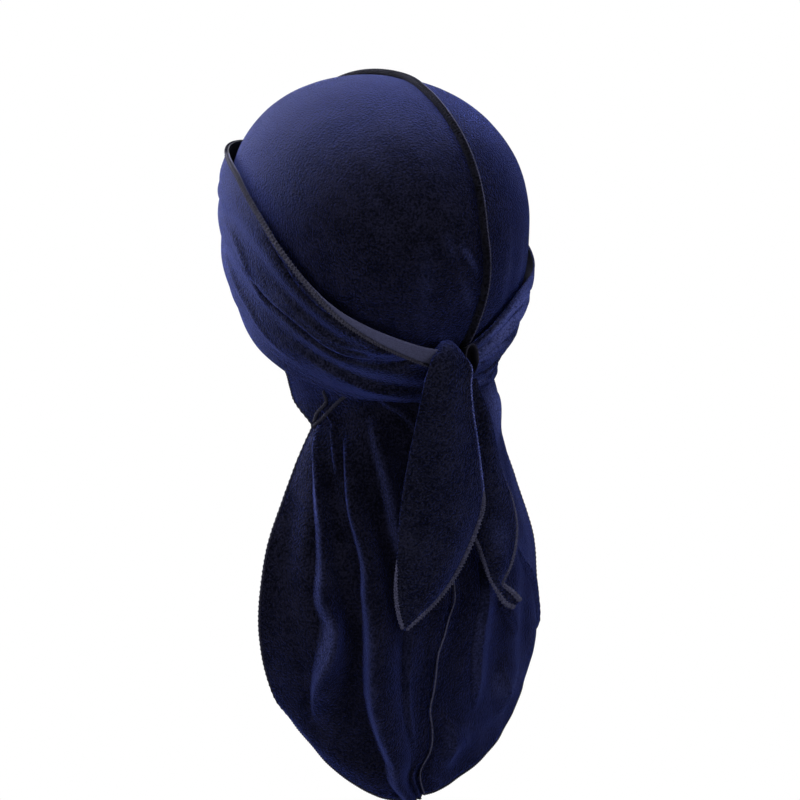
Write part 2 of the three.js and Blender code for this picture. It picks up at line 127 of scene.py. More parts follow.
def track(rows):
    """Smooth curve through a table's rows: each later column as a function of the first."""
    keys = [row[0] for row in rows]
    last = len(rows) - 1
    rising = keys[last] > keys[0]

    def slope(i, c):
        before, after = max(0, i - 1), min(last, i + 1)
        return (rows[after][c] - rows[before][c]) / (keys[after] - keys[before])

    def at(key):
        i = 0
        while i < last - 1 and (key >= keys[i + 1] if rising else key <= keys[i + 1]):
            i += 1
        span = keys[i + 1] - keys[i]
        s = clamp01((key - keys[i]) / span)
        s2, s3 = s * s, s * s * s
        return [
            (2 * s3 - 3 * s2 + 1) * rows[i][c] + (s3 - 2 * s2 + s) * slope(i, c) * span
            + (3 * s2 - 2 * s3) * rows[i + 1][c] + (s3 - s2) * slope(i + 1, c) * span
            for c in range(1, len(rows[0]))
        ]

    return at


# ---------- the head that the cap is stretched over ----------
GATHER_ANGLE, GATHER_SPREAD = -55, 45
GATHER_HEIGHT, GATHER_RISE, GATHER_DEPTH = -182, 29, 9


def gather_at(angle, height):
    around = bell((math.degrees(angle) - GATHER_ANGLE) / GATHER_SPREAD)
    return GATHER_DEPTH * around * bell((height - GATHER_HEIGHT) / GATHER_RISE)


def head_axes(height, offset):
    rise = height + CROWN_HEIGHT
    upper = rise >= 0
    level = clamp01(abs(rise) / ((CROWN_HEIGHT if upper else LOWER_DEPTH) + offset))
    side_shape = CROWN_FULLNESS if upper else SIDE_FULLNESS
    back_shape = CROWN_FULLNESS if upper else BACK_FULLNESS
    side = (1 - level ** side_shape) ** (1 / side_shape)
    back = (1 - level ** back_shape) ** (1 / back_shape)
    neck = 0 if upper else clamp01(level * NECK_FADE)
    return (
        soft_max((HEAD_BREADTH / 2 + offset) * side, neck * (NECK_BREADTH / 2 + offset)),
        soft_max((HEAD_LENGTH / 2 + offset) * back, neck * (NECK_LENGTH / 2 + offset)),
    )


def head_point(angle, height, offset):
    breadth, length = head_axes(height, offset)
    turned = math.atan2(math.sin(angle), math.cos(angle))
    out = gather_at(turned, height)
    return Vector(((breadth + out) * math.sin(angle), (length + out) * math.cos(angle), height))


def place_along(direction):
    reach = CROWN_HEIGHT if direction.z >= 0 else LOWER_DEPTH
    return math.atan2(direction.x, direction.y), -CROWN_HEIGHT + reach * direction.z


def direction_at(degrees, height):
    rise = height + CROWN_HEIGHT
    level = rise / (CROWN_HEIGHT if rise >= 0 else LOWER_DEPTH)
    reach = math.sqrt(max(0.0, 1 - level * level))
    angle = math.radians(degrees)
    return Vector((reach * math.sin(angle), reach * math.cos(angle), level))


def slerp(start, end, share):
    angle = start.angle(end)
    return (start * math.sin((1 - share) * angle) + end * math.sin(share * angle)) / math.sin(angle)


# Rows: share of the crown from forehead to nape, turn over the head from its top, lean aside.
crown_seam_line = track([
    (0, -97, 0),
    (0.24, -39, -9),
    (0.4, 0, -11),
    (0.47, 16, -7),
    (0.53, 31, -4),
    (0.58, 43, -2.4),
    (0.66, 62, -0.4),
    (0.74, 81, 0.9),
    (0.82, 100, -0.9),
    (0.9, 119, 2),
    (1, 143, 8),
])

# Rows: share of the crown, angle from the back and height of a panel's outer edge.
crown_edge = track([
    (0, 132, -104),
    (0.4, 112, -124),
    (0.68, 94, -146),
    (0.8, 91, -160),
    (0.88, 94, -171),
    (0.94, 93, -180),
    (1, 77, -190),
])

# Rows: share of the fall from nape to hem, place aside and place backward of the seam.
tail_seam_line = track([
    (-0.1, 8, 60.2),
    (0, 8, 60.4),
    (0.1, 8, 65.5),
    (0.3, 6, 74),
    (0.5, 7.2, 79),
    (0.6, 15.7, 80),
    (0.67, 20.7, 80),
    (0.75, 23.5, 80),
    (0.88, 24.8, 80),
    (0.94, 31.5, 79),
    (1, 27, 78),
])

# Rows: share of the fall, place aside, place backward and height of the outer edge.
tail_edge = {
    "left": track([
        (-0.1, 55, 12, -178),
        (0, 55, 12, -190),
        (0.1, 64.5, 14, -205),
        (0.25, 79, 17, -229),
        (0.4, 91.5, 20, -252),
        (0.55, 99, 23, -276),
        (0.68, 102, 25, -296),
        (0.8, 101, 27, -315),
        (0.88, 98.5, 29, -329),
        (0.94, 94.5, 31, -341),
        (1, 87, 35, -352.5),
    ]),
    "right": track([
        (-0.1, -58, 13, -178),
        (0, -60, 15.5, -190),
        (0.1, -66, 20, -206),
        (0.25, -76, 24, -231),
        (0.4, -84, 27, -256),
        (0.55, -91, 30, -281),
        (0.68, -93, 31, -303),
        (0.8, -92, 33, -322),
        (0.88, -89, 34, -335),
        (0.94, -85, 36, -345),
        (1, -78, 40, -355),
    ]),
}

# Rows: angle from the back, middle height, width, layer and pleat depth.
strap_route = {
    "left": track([
        (125, -104, 50, 1, 0),
        (105, -120, 48, 1, 0),
        (90, -130, 42, 1, 0),
        (60, -144, 26, 1, 0),
        (30, -153, 20, 1, 0),
        (12, -157, 16, 1, 0),
        (0, -159, 16, 1, 0),
        (-12, -163, 15, 1, 0),
        (-20, -166, 13, 1.3, 0),
        (-30, -166, 14, 2, 0),
        (-45, -158, 24, 2, 0),
        (-60, -150, 36, 2, 0),
        (-91, -129, 50, 2, 0),
        (-110, -118, 54, 2, 0),
        (-128, -108, 50, 2, 0),
        (-145, -98, 36, 2, 0),
        (-157, -92, 28, 2.5, 0),
        (-164, -89, 30, 3, 0),
        (-168, -86, 34, 3, 0),
        (-180, -78, 46, 3, 0.5),
        (-210, -76, 64, 3, 1),
        (-232, -80.5, 75, 3, 1.5),
        (-250, -87.5, 81, 3, 1.8),
        (-258, -92.5, 81, 3, 2),
        (-271.5, -103.5, 79, 3, 2),
        (-282.7, -114.5, 69, 3, 2.2),
        (-293, -124.5, 59, 3, 2.4),
        (-303, -133.3, 51.3, 3, 2.6),
        (-316, -141.8, 43.5, 3, 2.6),
        (-328, -147.2, 36.5, 3, 2),
        (-341, -151.5, 31, 3, 1),
        (-349, -151.3, 27.5, 3, 0.3),
    ]),
    "right": track([
        (125, -104, 50, 1, 0),
        (105, -120, 50, 1, 0),
        (90, -130, 48, 1, 0),
        (60, -142, 34, 1, 0),
        (40, -149, 20, 1, 0),
        (30, -150, 14, 1.3, 0),
        (20, -150, 14, 2, 0),
        (10, -152, 16, 2, 0),
        (0, -156, 18, 2, 0),
        (-13, -160, 20, 2, 0),
        (-26, -158, 19, 2, 0),
        (-41, -156, 22, 2, 0),
        (-54, -151, 29, 2, 0),
        (-63, -146, 31, 2, 0),
        (-73, -140, 37, 2, 0),
        (-83, -134, 46, 2, 0),
        (-91, -129, 50, 2, 0),
        (-110, -118, 56, 2, 0),
        (-128, -106, 54, 2, 0),
        (-150, -88, 48, 2, 0),
        (-180, -76, 44, 2, 0),
        (-192, -66, 36, 2, 0),
        (-197, -60, 31, 2, 0),
        (-203, -56, 28, 2.5, 0),
        (-215, -60, 36, 3, 0.5),
        (-235, -84, 64, 3, 1),
        (-255, -100, 57, 3, 1),
        (-275, -111.5, 49, 3, 0.8),
        (-296, -119.5, 47, 3, 0.6),
        (-315, -125.5, 48, 3, 0.8),
        (-330, -127.5, 49, 3, 1.2),
        (-340, -130, 44, 3, 1.6),
        (-347, -134.5, 37, 3, 1.8),
        (-355, -140.5, 29, 3, 1.4),
        (-363, -145.5, 23, 3, 0.3),
    ]),
}

# Rows: share of the run, place aside and height of the left edge, then of the right edge,
# distance out, curl of the edges and droop of the edges.
end_shape = {
    "left": track([
        (0, 6, -131.5, -6, -131.5, 86.2, 0, 5),
        (0.02, 6.6, -129, -6.6, -129, 88.6, 0.2, 6.5),
        (0.05, 8, -128, -8.6, -128.2, 91.8, 0.5, 8),
        (0.09, 10.6, -130.5, -10.4, -132, 95.3, 0.8, 6.5),
        (0.14, 13.8, -138, -12.8, -140, 97.3, 1, 3.5),
        (0.21, 16.4, -149, -12.4, -153, 98, 1.5, 1),
        (0.3, 19.4, -165.6, -14.4, -170, 98, 2.5, 0),
        (0.4, 22.4, -184, -18.2, -189, 97.3, 4, 0),
        (0.5, 25, -202, -21.4, -207, 96.5, 5, 0),
        (0.6, 27.3, -220, -23.6, -222.5, 95.8, 6, 0),
        (0.68, 28.4, -236, -21.8, -235, 95, 6, 0),
        (0.76, 29.5, -251, -13, -255, 94.3, 5, 0),
        (0.84, 30.4, -266, -3, -270.5, 93.6, 4, 0),
        (0.91, 30.2, -277, 7.5, -280.5, 93, 2.5, 0),
        (0.96, 29, -285, 16.5, -287, 92.4, 1.2, 0),
        (1, 27, -293, 25.4, -293.8, 91.8, 0.4, 0),
    ]),
    "right": track([
        (0, -14.5, -154, -20.8, -153, 86, 0.2, 0),
        (0.08, -12, -164, -24.1, -163, 87, 0.8, 0),
        (0.16, -9.5, -176, -28.7, -174.5, 88, 1.5, 0),
        (0.28, -8, -192, -32.9, -191, 88, 2.5, 0),
        (0.4, -9, -210, -38, -210, 87.5, 3.5, 0),
        (0.52, -13, -228, -44.9, -228.5, 87, 4, 0),
        (0.61, -17.8, -240, -48.2, -243.5, 86.5, 4, 0),
        (0.7, -23.4, -251, -47.4, -257.5, 86, 3, 0),
        (0.78, -27.5, -262.2, -44.2, -269.3, 85.5, 2, 0),
        (0.86, -31, -272.5, -39.6, -276.8, 85, 1, 0),
        (0.91, -35.3, -281, -39, -279, 84.7, 0.3, 0),
        (0.96, -41, -290.5, -45.4, -284.8, 84.2, 0, 0),
        (1, -47.5, -294.4, -51, -291.2, 84, 0, 0),
    ]),
}

CROWN_SHARE = 0.58     # of a panel's length, from the forehead to the nape
LEVEL_FROM, LEVEL_SPREAD = 0.6, 0.25
JOIN_SPREAD = 0.1      # of the crown, over which it blends into the tail
TAIL_START = -0.1      # the fall where the tail's tables start
BOTTOM_DIP = {"left": 3, "right": -1}
NAPE_OPENING, TAIL_OPENING, OPENING_SPREAD = 88, 58, 0.35

# Swells and folds of the hanging tail, each along a slanting line: from and to down
# the fall, the place across at its top and its foot, its reach and its height.
tail_folds = {
    "left": [
        (0.02, 0.96, 0.92, 0.56, 0.14, 3.4),
        (0.04, 1.1, 0.66, 0.12, 0.16, 4.2),
        (-0.02, 0.6, 0.48, 0.22, 0.15, 2.6),
    ],
    "right": [
        (0.3, 0.95, 0.18, 0.24, 0.16, 3),
        (0.1, 0.9, 0.3, 0.6, 0.15, 3.2),
        (0.35, 1.05, 0.5, 0.95, 0.14, 3),
    ],
}


def fold_swell(folds, fall, across):
    total = 0.0
    for start, end, upper, lower, reach, height in folds:
        s = clamp01((fall - start) / (end - start))
        middle = mix(upper, lower, s)
        total += height * math.sin(math.pi * s) * bell((across - middle) / reach)
    return total


def crown_point(side, share, across):
    turn, lean = (math.radians(v) for v in crown_seam_line(share))
    start = Vector((
        math.sin(lean), math.cos(lean) * math.sin(turn), math.cos(lean) * math.cos(turn)))
    edge_angle, edge_height = crown_edge(share)
    level = smooth((share - LEVEL_FROM) / LEVEL_SPREAD)
    first_angle, first_height = place_along(start)
    angle = mix(first_angle, SIGN[side] * math.radians(edge_angle), across)
    height = mix(first_height, edge_height, across)
    if level < 1:
        end = direction_at(SIGN[side] * edge_angle, edge_height)
        over_angle, over_height = place_along(slerp(start, end, across))
        angle = mix(over_angle, angle, level)
        height = mix(over_height, height, level)
    return head_point(angle, height, 0)


def tail_point(side, fall, across):
    seam_x, seam_y = tail_seam_line(fall)
    edge_x, edge_y, edge_z = tail_edge[side](fall)
    opening = math.radians(mix(NAPE_OPENING, TAIL_OPENING, smooth(fall / OPENING_SPREAD)))
    turn = across * opening
    reach = math.sin(turn) / math.sin(opening)
    bow = (math.cos(turn) - math.cos(opening)) / (1 - math.cos(opening))
    seam_height = NAPE_HEIGHT - TAIL_DROP * fall
    rise = across ** (1 + smooth(fall))
    dip = BOTTOM_DIP[side] * smooth(fall) * math.sin(math.pi * across)
    x = mix(seam_x, edge_x, reach)
    y = mix(edge_y, seam_y, bow)
    z = mix(seam_height, edge_z, rise) - dip
    swell = fold_swell(tail_folds[side], fall, across) + gather_at(math.atan2(x, y), z)
    outward = SIGN[side] * turn
    return Vector((x + swell * math.sin(outward), y + swell * math.cos(outward), z))


def fall_at(along):
    """Share of the fall down the tail; below 0 it is on the crown."""
    return (along - CROWN_SHARE) / (1 - CROWN_SHARE)


def panel_point(side, along, across):
    share = along / CROWN_SHARE
    fall = fall_at(along)
    joined = smooth(0.5 + (share - 1) / (2 * JOIN_SPREAD))
    if joined <= 0:
        point = crown_point(side, share, across)
    elif joined >= 1:
        point = tail_point(side, fall, across)
    else:
        point = crown_point(side, min(share, 1), across).lerp(
            tail_point(side, max(fall, TAIL_START), across), joined)
    point.x += SIGN[side] * SEAM_GAP / 2
    return point


# ---------- straps and free ends, millimetres ----------
STRAP_SPAN = {"left": (125, -349), "right": (125, -363)}
PLEATS = 3
KNOT_ANGLE = 12        # degrees that the knot and the ends are turned aside
KNOT_OUT, KNOT_ASIDE, KNOT_HEIGHT = 88.4, 0, -148
KNOT_DEPTH, KNOT_WIDTH, KNOT_TALL, KNOT_LEAN = 13.6, 24, 26, 0.4


def strap_point(side, along, across, extra=0.0, rise=0.0):
    degrees = mix(*STRAP_SPAN[side], along)
    middle, width, layer, pleat = strap_route[side](degrees)
    height = middle + (across - 0.5) * width + rise * across ** 2
    fold = 0.5 - 0.5 * math.cos(2 * math.pi * PLEATS * across)
    offset = layer * LAYER_PITCH + pleat * fold + extra
    return head_point(SIGN[side] * math.radians(degrees), height, offset)


def knot_space(out, aside, height):
    angle = math.radians(KNOT_ANGLE)
    return Vector((
        out * math.sin(angle) + aside * math.cos(angle),
        out * math.cos(angle) - aside * math.sin(angle),
        height,
    ))


def end_point(side, along, across):
    left, left_height, right, right_height, out, curl, droop = end_shape[side](along)
    bow = (2 * across - 1) ** 2
    height = mix(right_height, left_height, across) - droop * bow
    return knot_space(out - curl * bow, mix(right, left, across), height)


# ---------- making cloth ----------
MERGE_DISTANCE = 1e-6


def grid_piece(name, place, rows, columns):
    """A grid of rows and columns whose vertices are moved to place(u, v), with a UV map in u, v."""
    mesh_data = bpy.data.meshes.new(name)
    bm = bmesh.new()
    bmesh.ops.create_grid(bm, x_segments=columns, y_segments=rows, size=0.5)
    uv_layer = bm.loops.layers.uv.new("cloth")
    # A per-vertex share of painted highlight.
    bm.verts.layers.float.new("painted_highlight")
    spots = {vert: (vert.co.y + 0.5, vert.co.x + 0.5) for vert in bm.verts}
    for face in bm.faces:
        face.smooth = True
        for loop in face.loops:
            u, v = spots[loop.vert]
            loop[uv_layer].uv = (v, u)
    for vert, (u, v) in spots.items():
        vert.co = place(u, v) * MM
    bm.normal_update()
    return mesh_data, bm, spots


def finish_piece(name, mesh_data, bm, materials):
    """Keep the shaped mesh and stand it in the scene with its materials."""
    bm.to_mesh(mesh_data)
    bm.free()
    piece = bpy.data.objects.new(name, mesh_data)
    bpy.context.scene.collection.objects.link(piece)
    for material in materials:
        mesh_data.materials.append(material)
    return piece


def closed_piece(name, mesh_data, bm, materials, merge=MERGE_DISTANCE):
    """A rolled-up grid with its seam merged, its ends closed and its faces outward."""
    bmesh.ops.remove_doubles(bm, verts=bm.verts, dist=merge)
    bmesh.ops.holes_fill(bm, edges=[e for e in bm.edges if e.is_boundary], sides=0)
    bmesh.ops.recalc_face_normals(bm, faces=bm.faces)
    return finish_piece(name, mesh_data, bm, materials)


def cloth_piece(name, place, rows, columns, materials, highlight_at, flip=False, relief=None,
                backs=None):
    """A sheet of cloth: place(u, v) is its inner skin, relief(u, v) lifts it along its normal.

    The function given after the materials says how much paler blue highlight is painted on at (u,
    v);
    backs(u, v) is the first of the pair of materials, face then back, that the cloth takes there.
    """
    mesh_data, bm, spots = grid_piece(name, place, rows, columns)
    # Store each vertex's share of painted highlight.
    painted_highlight = bm.verts.layers.float["painted_highlight"]
    for vert, (u, v) in spots.items():
        vert[painted_highlight] = clamp01(highlight_at(u, v))
    if backs:
        for face in bm.faces:
            face.material_index = backs(*spots[face.verts[0]])
    if flip:
        bmesh.ops.reverse_faces(bm, faces=bm.faces)
        bm.normal_update()
    if relief:
        lifts = {vert: vert.normal * (relief(u, v) * MM) for vert, (u, v) in spots.items()}
        for vert, lift in lifts.items():
            vert.co += lift
    piece = finish_piece(name, mesh_data, bm, materials)
    thickness = piece.modifiers.new("thickness", "SOLIDIFY")
    thickness.thickness = CLOTH * MM
    thickness.offset = 1
    thickness.use_quality_normals = True
    thickness.material_offset = 1
    return piece


# No hem runs along this direction, so a tube's sides are set by it.
ACROSS_ALL_HEMS = Vector((0.3, 0.2, 1))
TIP_RINGS, TIP_LEAST = 2, 0.02


def tube_piece(name, path, radius, rings, sides, materials, lay):
    """A closed tube along path(s), of radius(s), s from 0 to 1; lay(s, turn) swells it."""
    def frame_at(s):
        step = 0.5 / rings
        here = path(s)
        ahead = (path(min(1, s + step)) - path(max(0, s - step))).normalized()
        side = ahead.cross(ACROSS_ALL_HEMS).normalized()
        return here, side, ahead.cross(side).normalized()

    frames = [frame_at(i / rings) for i in range(rings + 1)]

    def place(u, v):
        here, side, up = frames[round(u * rings)]
        turn = 2 * math.pi * v
        swell = radius(u)[0] * (1 + lay(u, turn))
        tip = math.sqrt(clamp01(min(u, 1 - u) * rings / TIP_RINGS + TIP_LEAST))
        return here + (side * math.cos(turn) + up * math.sin(turn)) * swell * tip

    mesh_data, bm, spots = grid_piece(name, place, rings, sides)
    return closed_piece(name, mesh_data, bm, materials)


LENGTH_STEPS = 400


def path_length(path):
    spots = [path(i / LENGTH_STEPS) for i in range(LENGTH_STEPS + 1)]
    return sum((b - a).length for a, b in zip(spots, spots[1:]))


STITCH_PITCH = 1.9
STITCH_RINGS = 5


def even(radius):
    return lambda s: [radius]


def stitched_hem(name, path, radius, materials, sides=8, bite=0.34):
    """A rolled, overlocked edge: its thread winds round it once every stitch."""
    length = path_length(path)
    stitches = max(2, round(length / STITCH_PITCH))

    def lay(u, turn):
        wave = math.cos(2 * math.pi * stitches * u - turn)
        return bite * max(0.0, wave) ** 2 - bite / 3

    return tube_piece(name, path, radius, stitches * STITCH_RINGS, sides, materials, lay)


# ---------- finishes ----------
def new_material(name):
    material = bpy.data.materials.new(name)
    material.use_nodes = True
    tree = material.node_tree
    return material, tree, tree.nodes["Principled BSDF"]


def set_inputs(node, values):
    for socket, value in values.items():
        node.inputs[socket].default_value = value


def add_noise(tree, **values):
    """A noise laid out in the piece's own coordinates."""
    place = tree.nodes.new("ShaderNodeTexCoord")
    grain = tree.nodes.new("ShaderNodeTexNoise")
    set_inputs(grain, values)
    tree.links.new(place.outputs["Object"], grain.inputs["Vector"])
    return grain


def add_ramp(tree, value, stops):
    """The stops are the dark end, then the pale end: where each lies and its colour."""
    ramp = tree.nodes.new("ShaderNodeValToRGB")
    for element, (position, colour) in zip(ramp.color_ramp.elements, stops):
        element.position = position
        element.color = (*colour, 1)
    tree.links.new(value, ramp.inputs["Fac"])
    return ramp.outputs["Color"]


def add_bump(tree, shader, height, strength, distance):
    bump = tree.nodes.new("ShaderNodeBump")
    set_inputs(bump, {"Strength": strength, "Distance": distance * MM})
    tree.links.new(height, bump.inputs["Height"])
    tree.links.new(bump.outputs["Normal"], shader.inputs["Normal"])


PILE_SCALE, PILE_SHARE, PILE_LIFT = 860, 0.75, 2.4
NAP_SCALE = 60
DEEP_AT, CRUSHED_AT = 0.44, 0.58
# The paler blue painted on as a highlight, and how the grain speckles it.
HIGHLIGHT_BLUE = (0.024, 0.029, 0.09)
HIGHLIGHT_SPECKLE = {"From Min": 0.4, "From Max": 0.62, "To Min": 0.4, "To Max": 1.6}
NAVY_SHEEN = (0.13, 0.2, 1.0, 1)


def velvet(name, deep, crushed, sheen):
    """Short-pile velvet: a near-black ground, a coloured sheen and a crushed, mottled nap.

    Where the mesh's highlight attribute is set, a paler, speckled blue is painted on as a highlight.
    """
    material, tree, shader = new_material(name)
    nodes, links = tree.nodes, tree.links
    pile = add_noise(tree, Scale=PILE_SCALE, Detail=2, Roughness=0.7)
    nap = add_noise(tree, Scale=NAP_SCALE, Detail=5, Roughness=0.62)
    mottle = nodes.new("ShaderNodeMix")
    mottle.data_type = "FLOAT"
    mottle.inputs["Factor"].default_value = PILE_SHARE
    links.new(nap.outputs["Fac"], mottle.inputs["A"])
    links.new(pile.outputs["Fac"], mottle.inputs["B"])
    grain = mottle.outputs["Result"]
    ground = add_ramp(tree, grain, [(DEEP_AT, deep), (CRUSHED_AT, crushed)])

    # Painted highlight: the mesh's attribute mixes the paler, speckled blue into the ground.
    painted_highlight = nodes.new("ShaderNodeAttribute")
    painted_highlight.attribute_name = "painted_highlight"
    speckle = nodes.new("ShaderNodeMapRange")
    set_inputs(speckle, HIGHLIGHT_SPECKLE)
    links.new(grain, speckle.inputs["Value"])
    share = nodes.new("ShaderNodeMath")
    share.operation = "MULTIPLY"
    links.new(painted_highlight.outputs["Fac"], share.inputs[0])
    links.new(speckle.outputs["Result"], share.inputs[1])
    highlight_mix = nodes.new("ShaderNodeMix")
    highlight_mix.data_type = "RGBA"
    highlight_mix.inputs["B"].default_value = (*HIGHLIGHT_BLUE, 1)
    links.new(share.outputs["Value"], highlight_mix.inputs["Factor"])
    links.new(ground, highlight_mix.inputs["A"])
    links.new(highlight_mix.outputs["Result"], shader.inputs["Base Color"])

    add_bump(tree, shader, grain, 1.0, PILE_LIFT)
    set_inputs(shader, {
        "Roughness": 0.9, "Specular IOR Level": 0.01, "Sheen Weight": sheen,
        "Sheen Roughness": 0.35, "Sheen Tint": NAVY_SHEEN})
    return material


KNIT_SCALE, KNIT_LIFT = 1400, 0.3
KNIT_DARK_AT, KNIT_PALE_AT = 0.3, 0.7


def knit_back(name, dark, pale):
    """A fine matte knit: the cloth's wrong side, and the threads of its hems."""
    material, tree, shader = new_material(name)
    grain = add_noise(tree, Scale=KNIT_SCALE, Detail=2).outputs["Fac"]
    colour = add_ramp(tree, grain, [(KNIT_DARK_AT, dark), (KNIT_PALE_AT, pale)])
    tree.links.new(colour, shader.inputs["Base Color"])
    add_bump(tree, shader, grain, 0.3, KNIT_LIFT)
    set_inputs(shader, {
        "Roughness": 0.85, "Specular IOR Level": 0.03, "Sheen Weight": 0.02,
        "Sheen Roughness": 0.6, "Sheen Tint": (0.6, 0.62, 0.9, 1)})
    return material


navy = velvet(
    "navy_velvet", deep=(0.0001, 0.0001, 0.0003), crushed=(0.0029, 0.0029, 0.0062), sheen=0.115)
navy_strap = velvet(
    "navy_strap_velvet", deep=(0.0002, 0.0002, 0.0005), crushed=(0.0042, 0.0044, 0.0088),
    sheen=0.12)
navy_seam = velvet(
    "navy_seam_velvet", deep=(0.0003, 0.0003, 0.0005), crushed=(0.0026, 0.0026, 0.0042),
    sheen=0.012)
# A paler copy of the velvet with more sheen, which paints the highlight along the left end's folded
# edge.
edge_highlight_velvet = velvet(
    "painted_highlight_edge_velvet", deep=(0.008, 0.009, 0.022), crushed=(0.036, 0.04, 0.095), sheen=0.4)
wrong_side = knit_back("wrong_side", dark=(0.010, 0.0105, 0.022), pale=(0.018, 0.019, 0.038))
# A near-black copy of the wrong side, which paints shade on the strap's back over the forehead and
# inside the knot's throat.
painted_shade_back = knit_back("painted_shade_back", dark=(0.0006, 0.0006, 0.0012), pale=(0.002, 0.002, 0.004))
thread = knit_back("overlock_thread", dark=(0.003, 0.003, 0.006), pale=(0.024, 0.0245, 0.046))
hem_thread = knit_back(
    "hem_thread", dark=(0.0015, 0.0015, 0.0026), pale=(0.017, 0.017, 0.027))
dark_thread = knit_back("tail_thread", dark=(0.001, 0.001, 0.002), pale=(0.006, 0.006, 0.012))

# ---------- the two panels ----------
PANEL_ROWS, PANEL_COLUMNS = 236, 168
FOLD_SHARPNESS = 1.7


def pinch(distance, inward, outward):
    """A fold's section: a crisp crest that falls away over its two reaches."""
    share = clamp01(1 - abs(distance) / (outward if distance > 0 else inward))
    return share ** FOLD_SHARPNESS


def folds_from(rows_of_folds):
    return [(rows[0][0], rows[-1][0], track(rows)) for rows in rows_of_folds]


def folds_at(folds, along):
    """The middle, height and two reaches of each fold that passes this place along the cloth."""
    return [
        fold(along) for start, end, fold in folds if min(start, end) < along < max(start, end)]


def fold_lift(folds, along, across):
    return sum(
        height * pinch(across - middle, inward, outward)
        for middle, height, inward, outward in folds_at(folds, along))


# Painted highlight on the fold flanks: the fold height that takes it fully, then where it lies on
# the flank, its reach and its strength.
FULL_HIGHLIGHT_HEIGHT = 7
FLANK_MIDDLE, FLANK_REACH, FLANK_HIGHLIGHT = 0.3, 0.7, 0.5


def fold_highlight(folds, along, across):
    """The steeper flank of each fold gets a painted highlight."""
    total = 0.0
    for middle, height, inward, outward in folds_at(folds, along):
        reach = outward if outward < inward else -inward
        flank = across - middle - reach * FLANK_MIDDLE
        share = min(height, FULL_HIGHLIGHT_HEIGHT) / FULL_HIGHLIGHT_HEIGHT
        total += share * FLANK_HIGHLIGHT * bell(flank / (abs(reach) * FLANK_REACH))
    return total


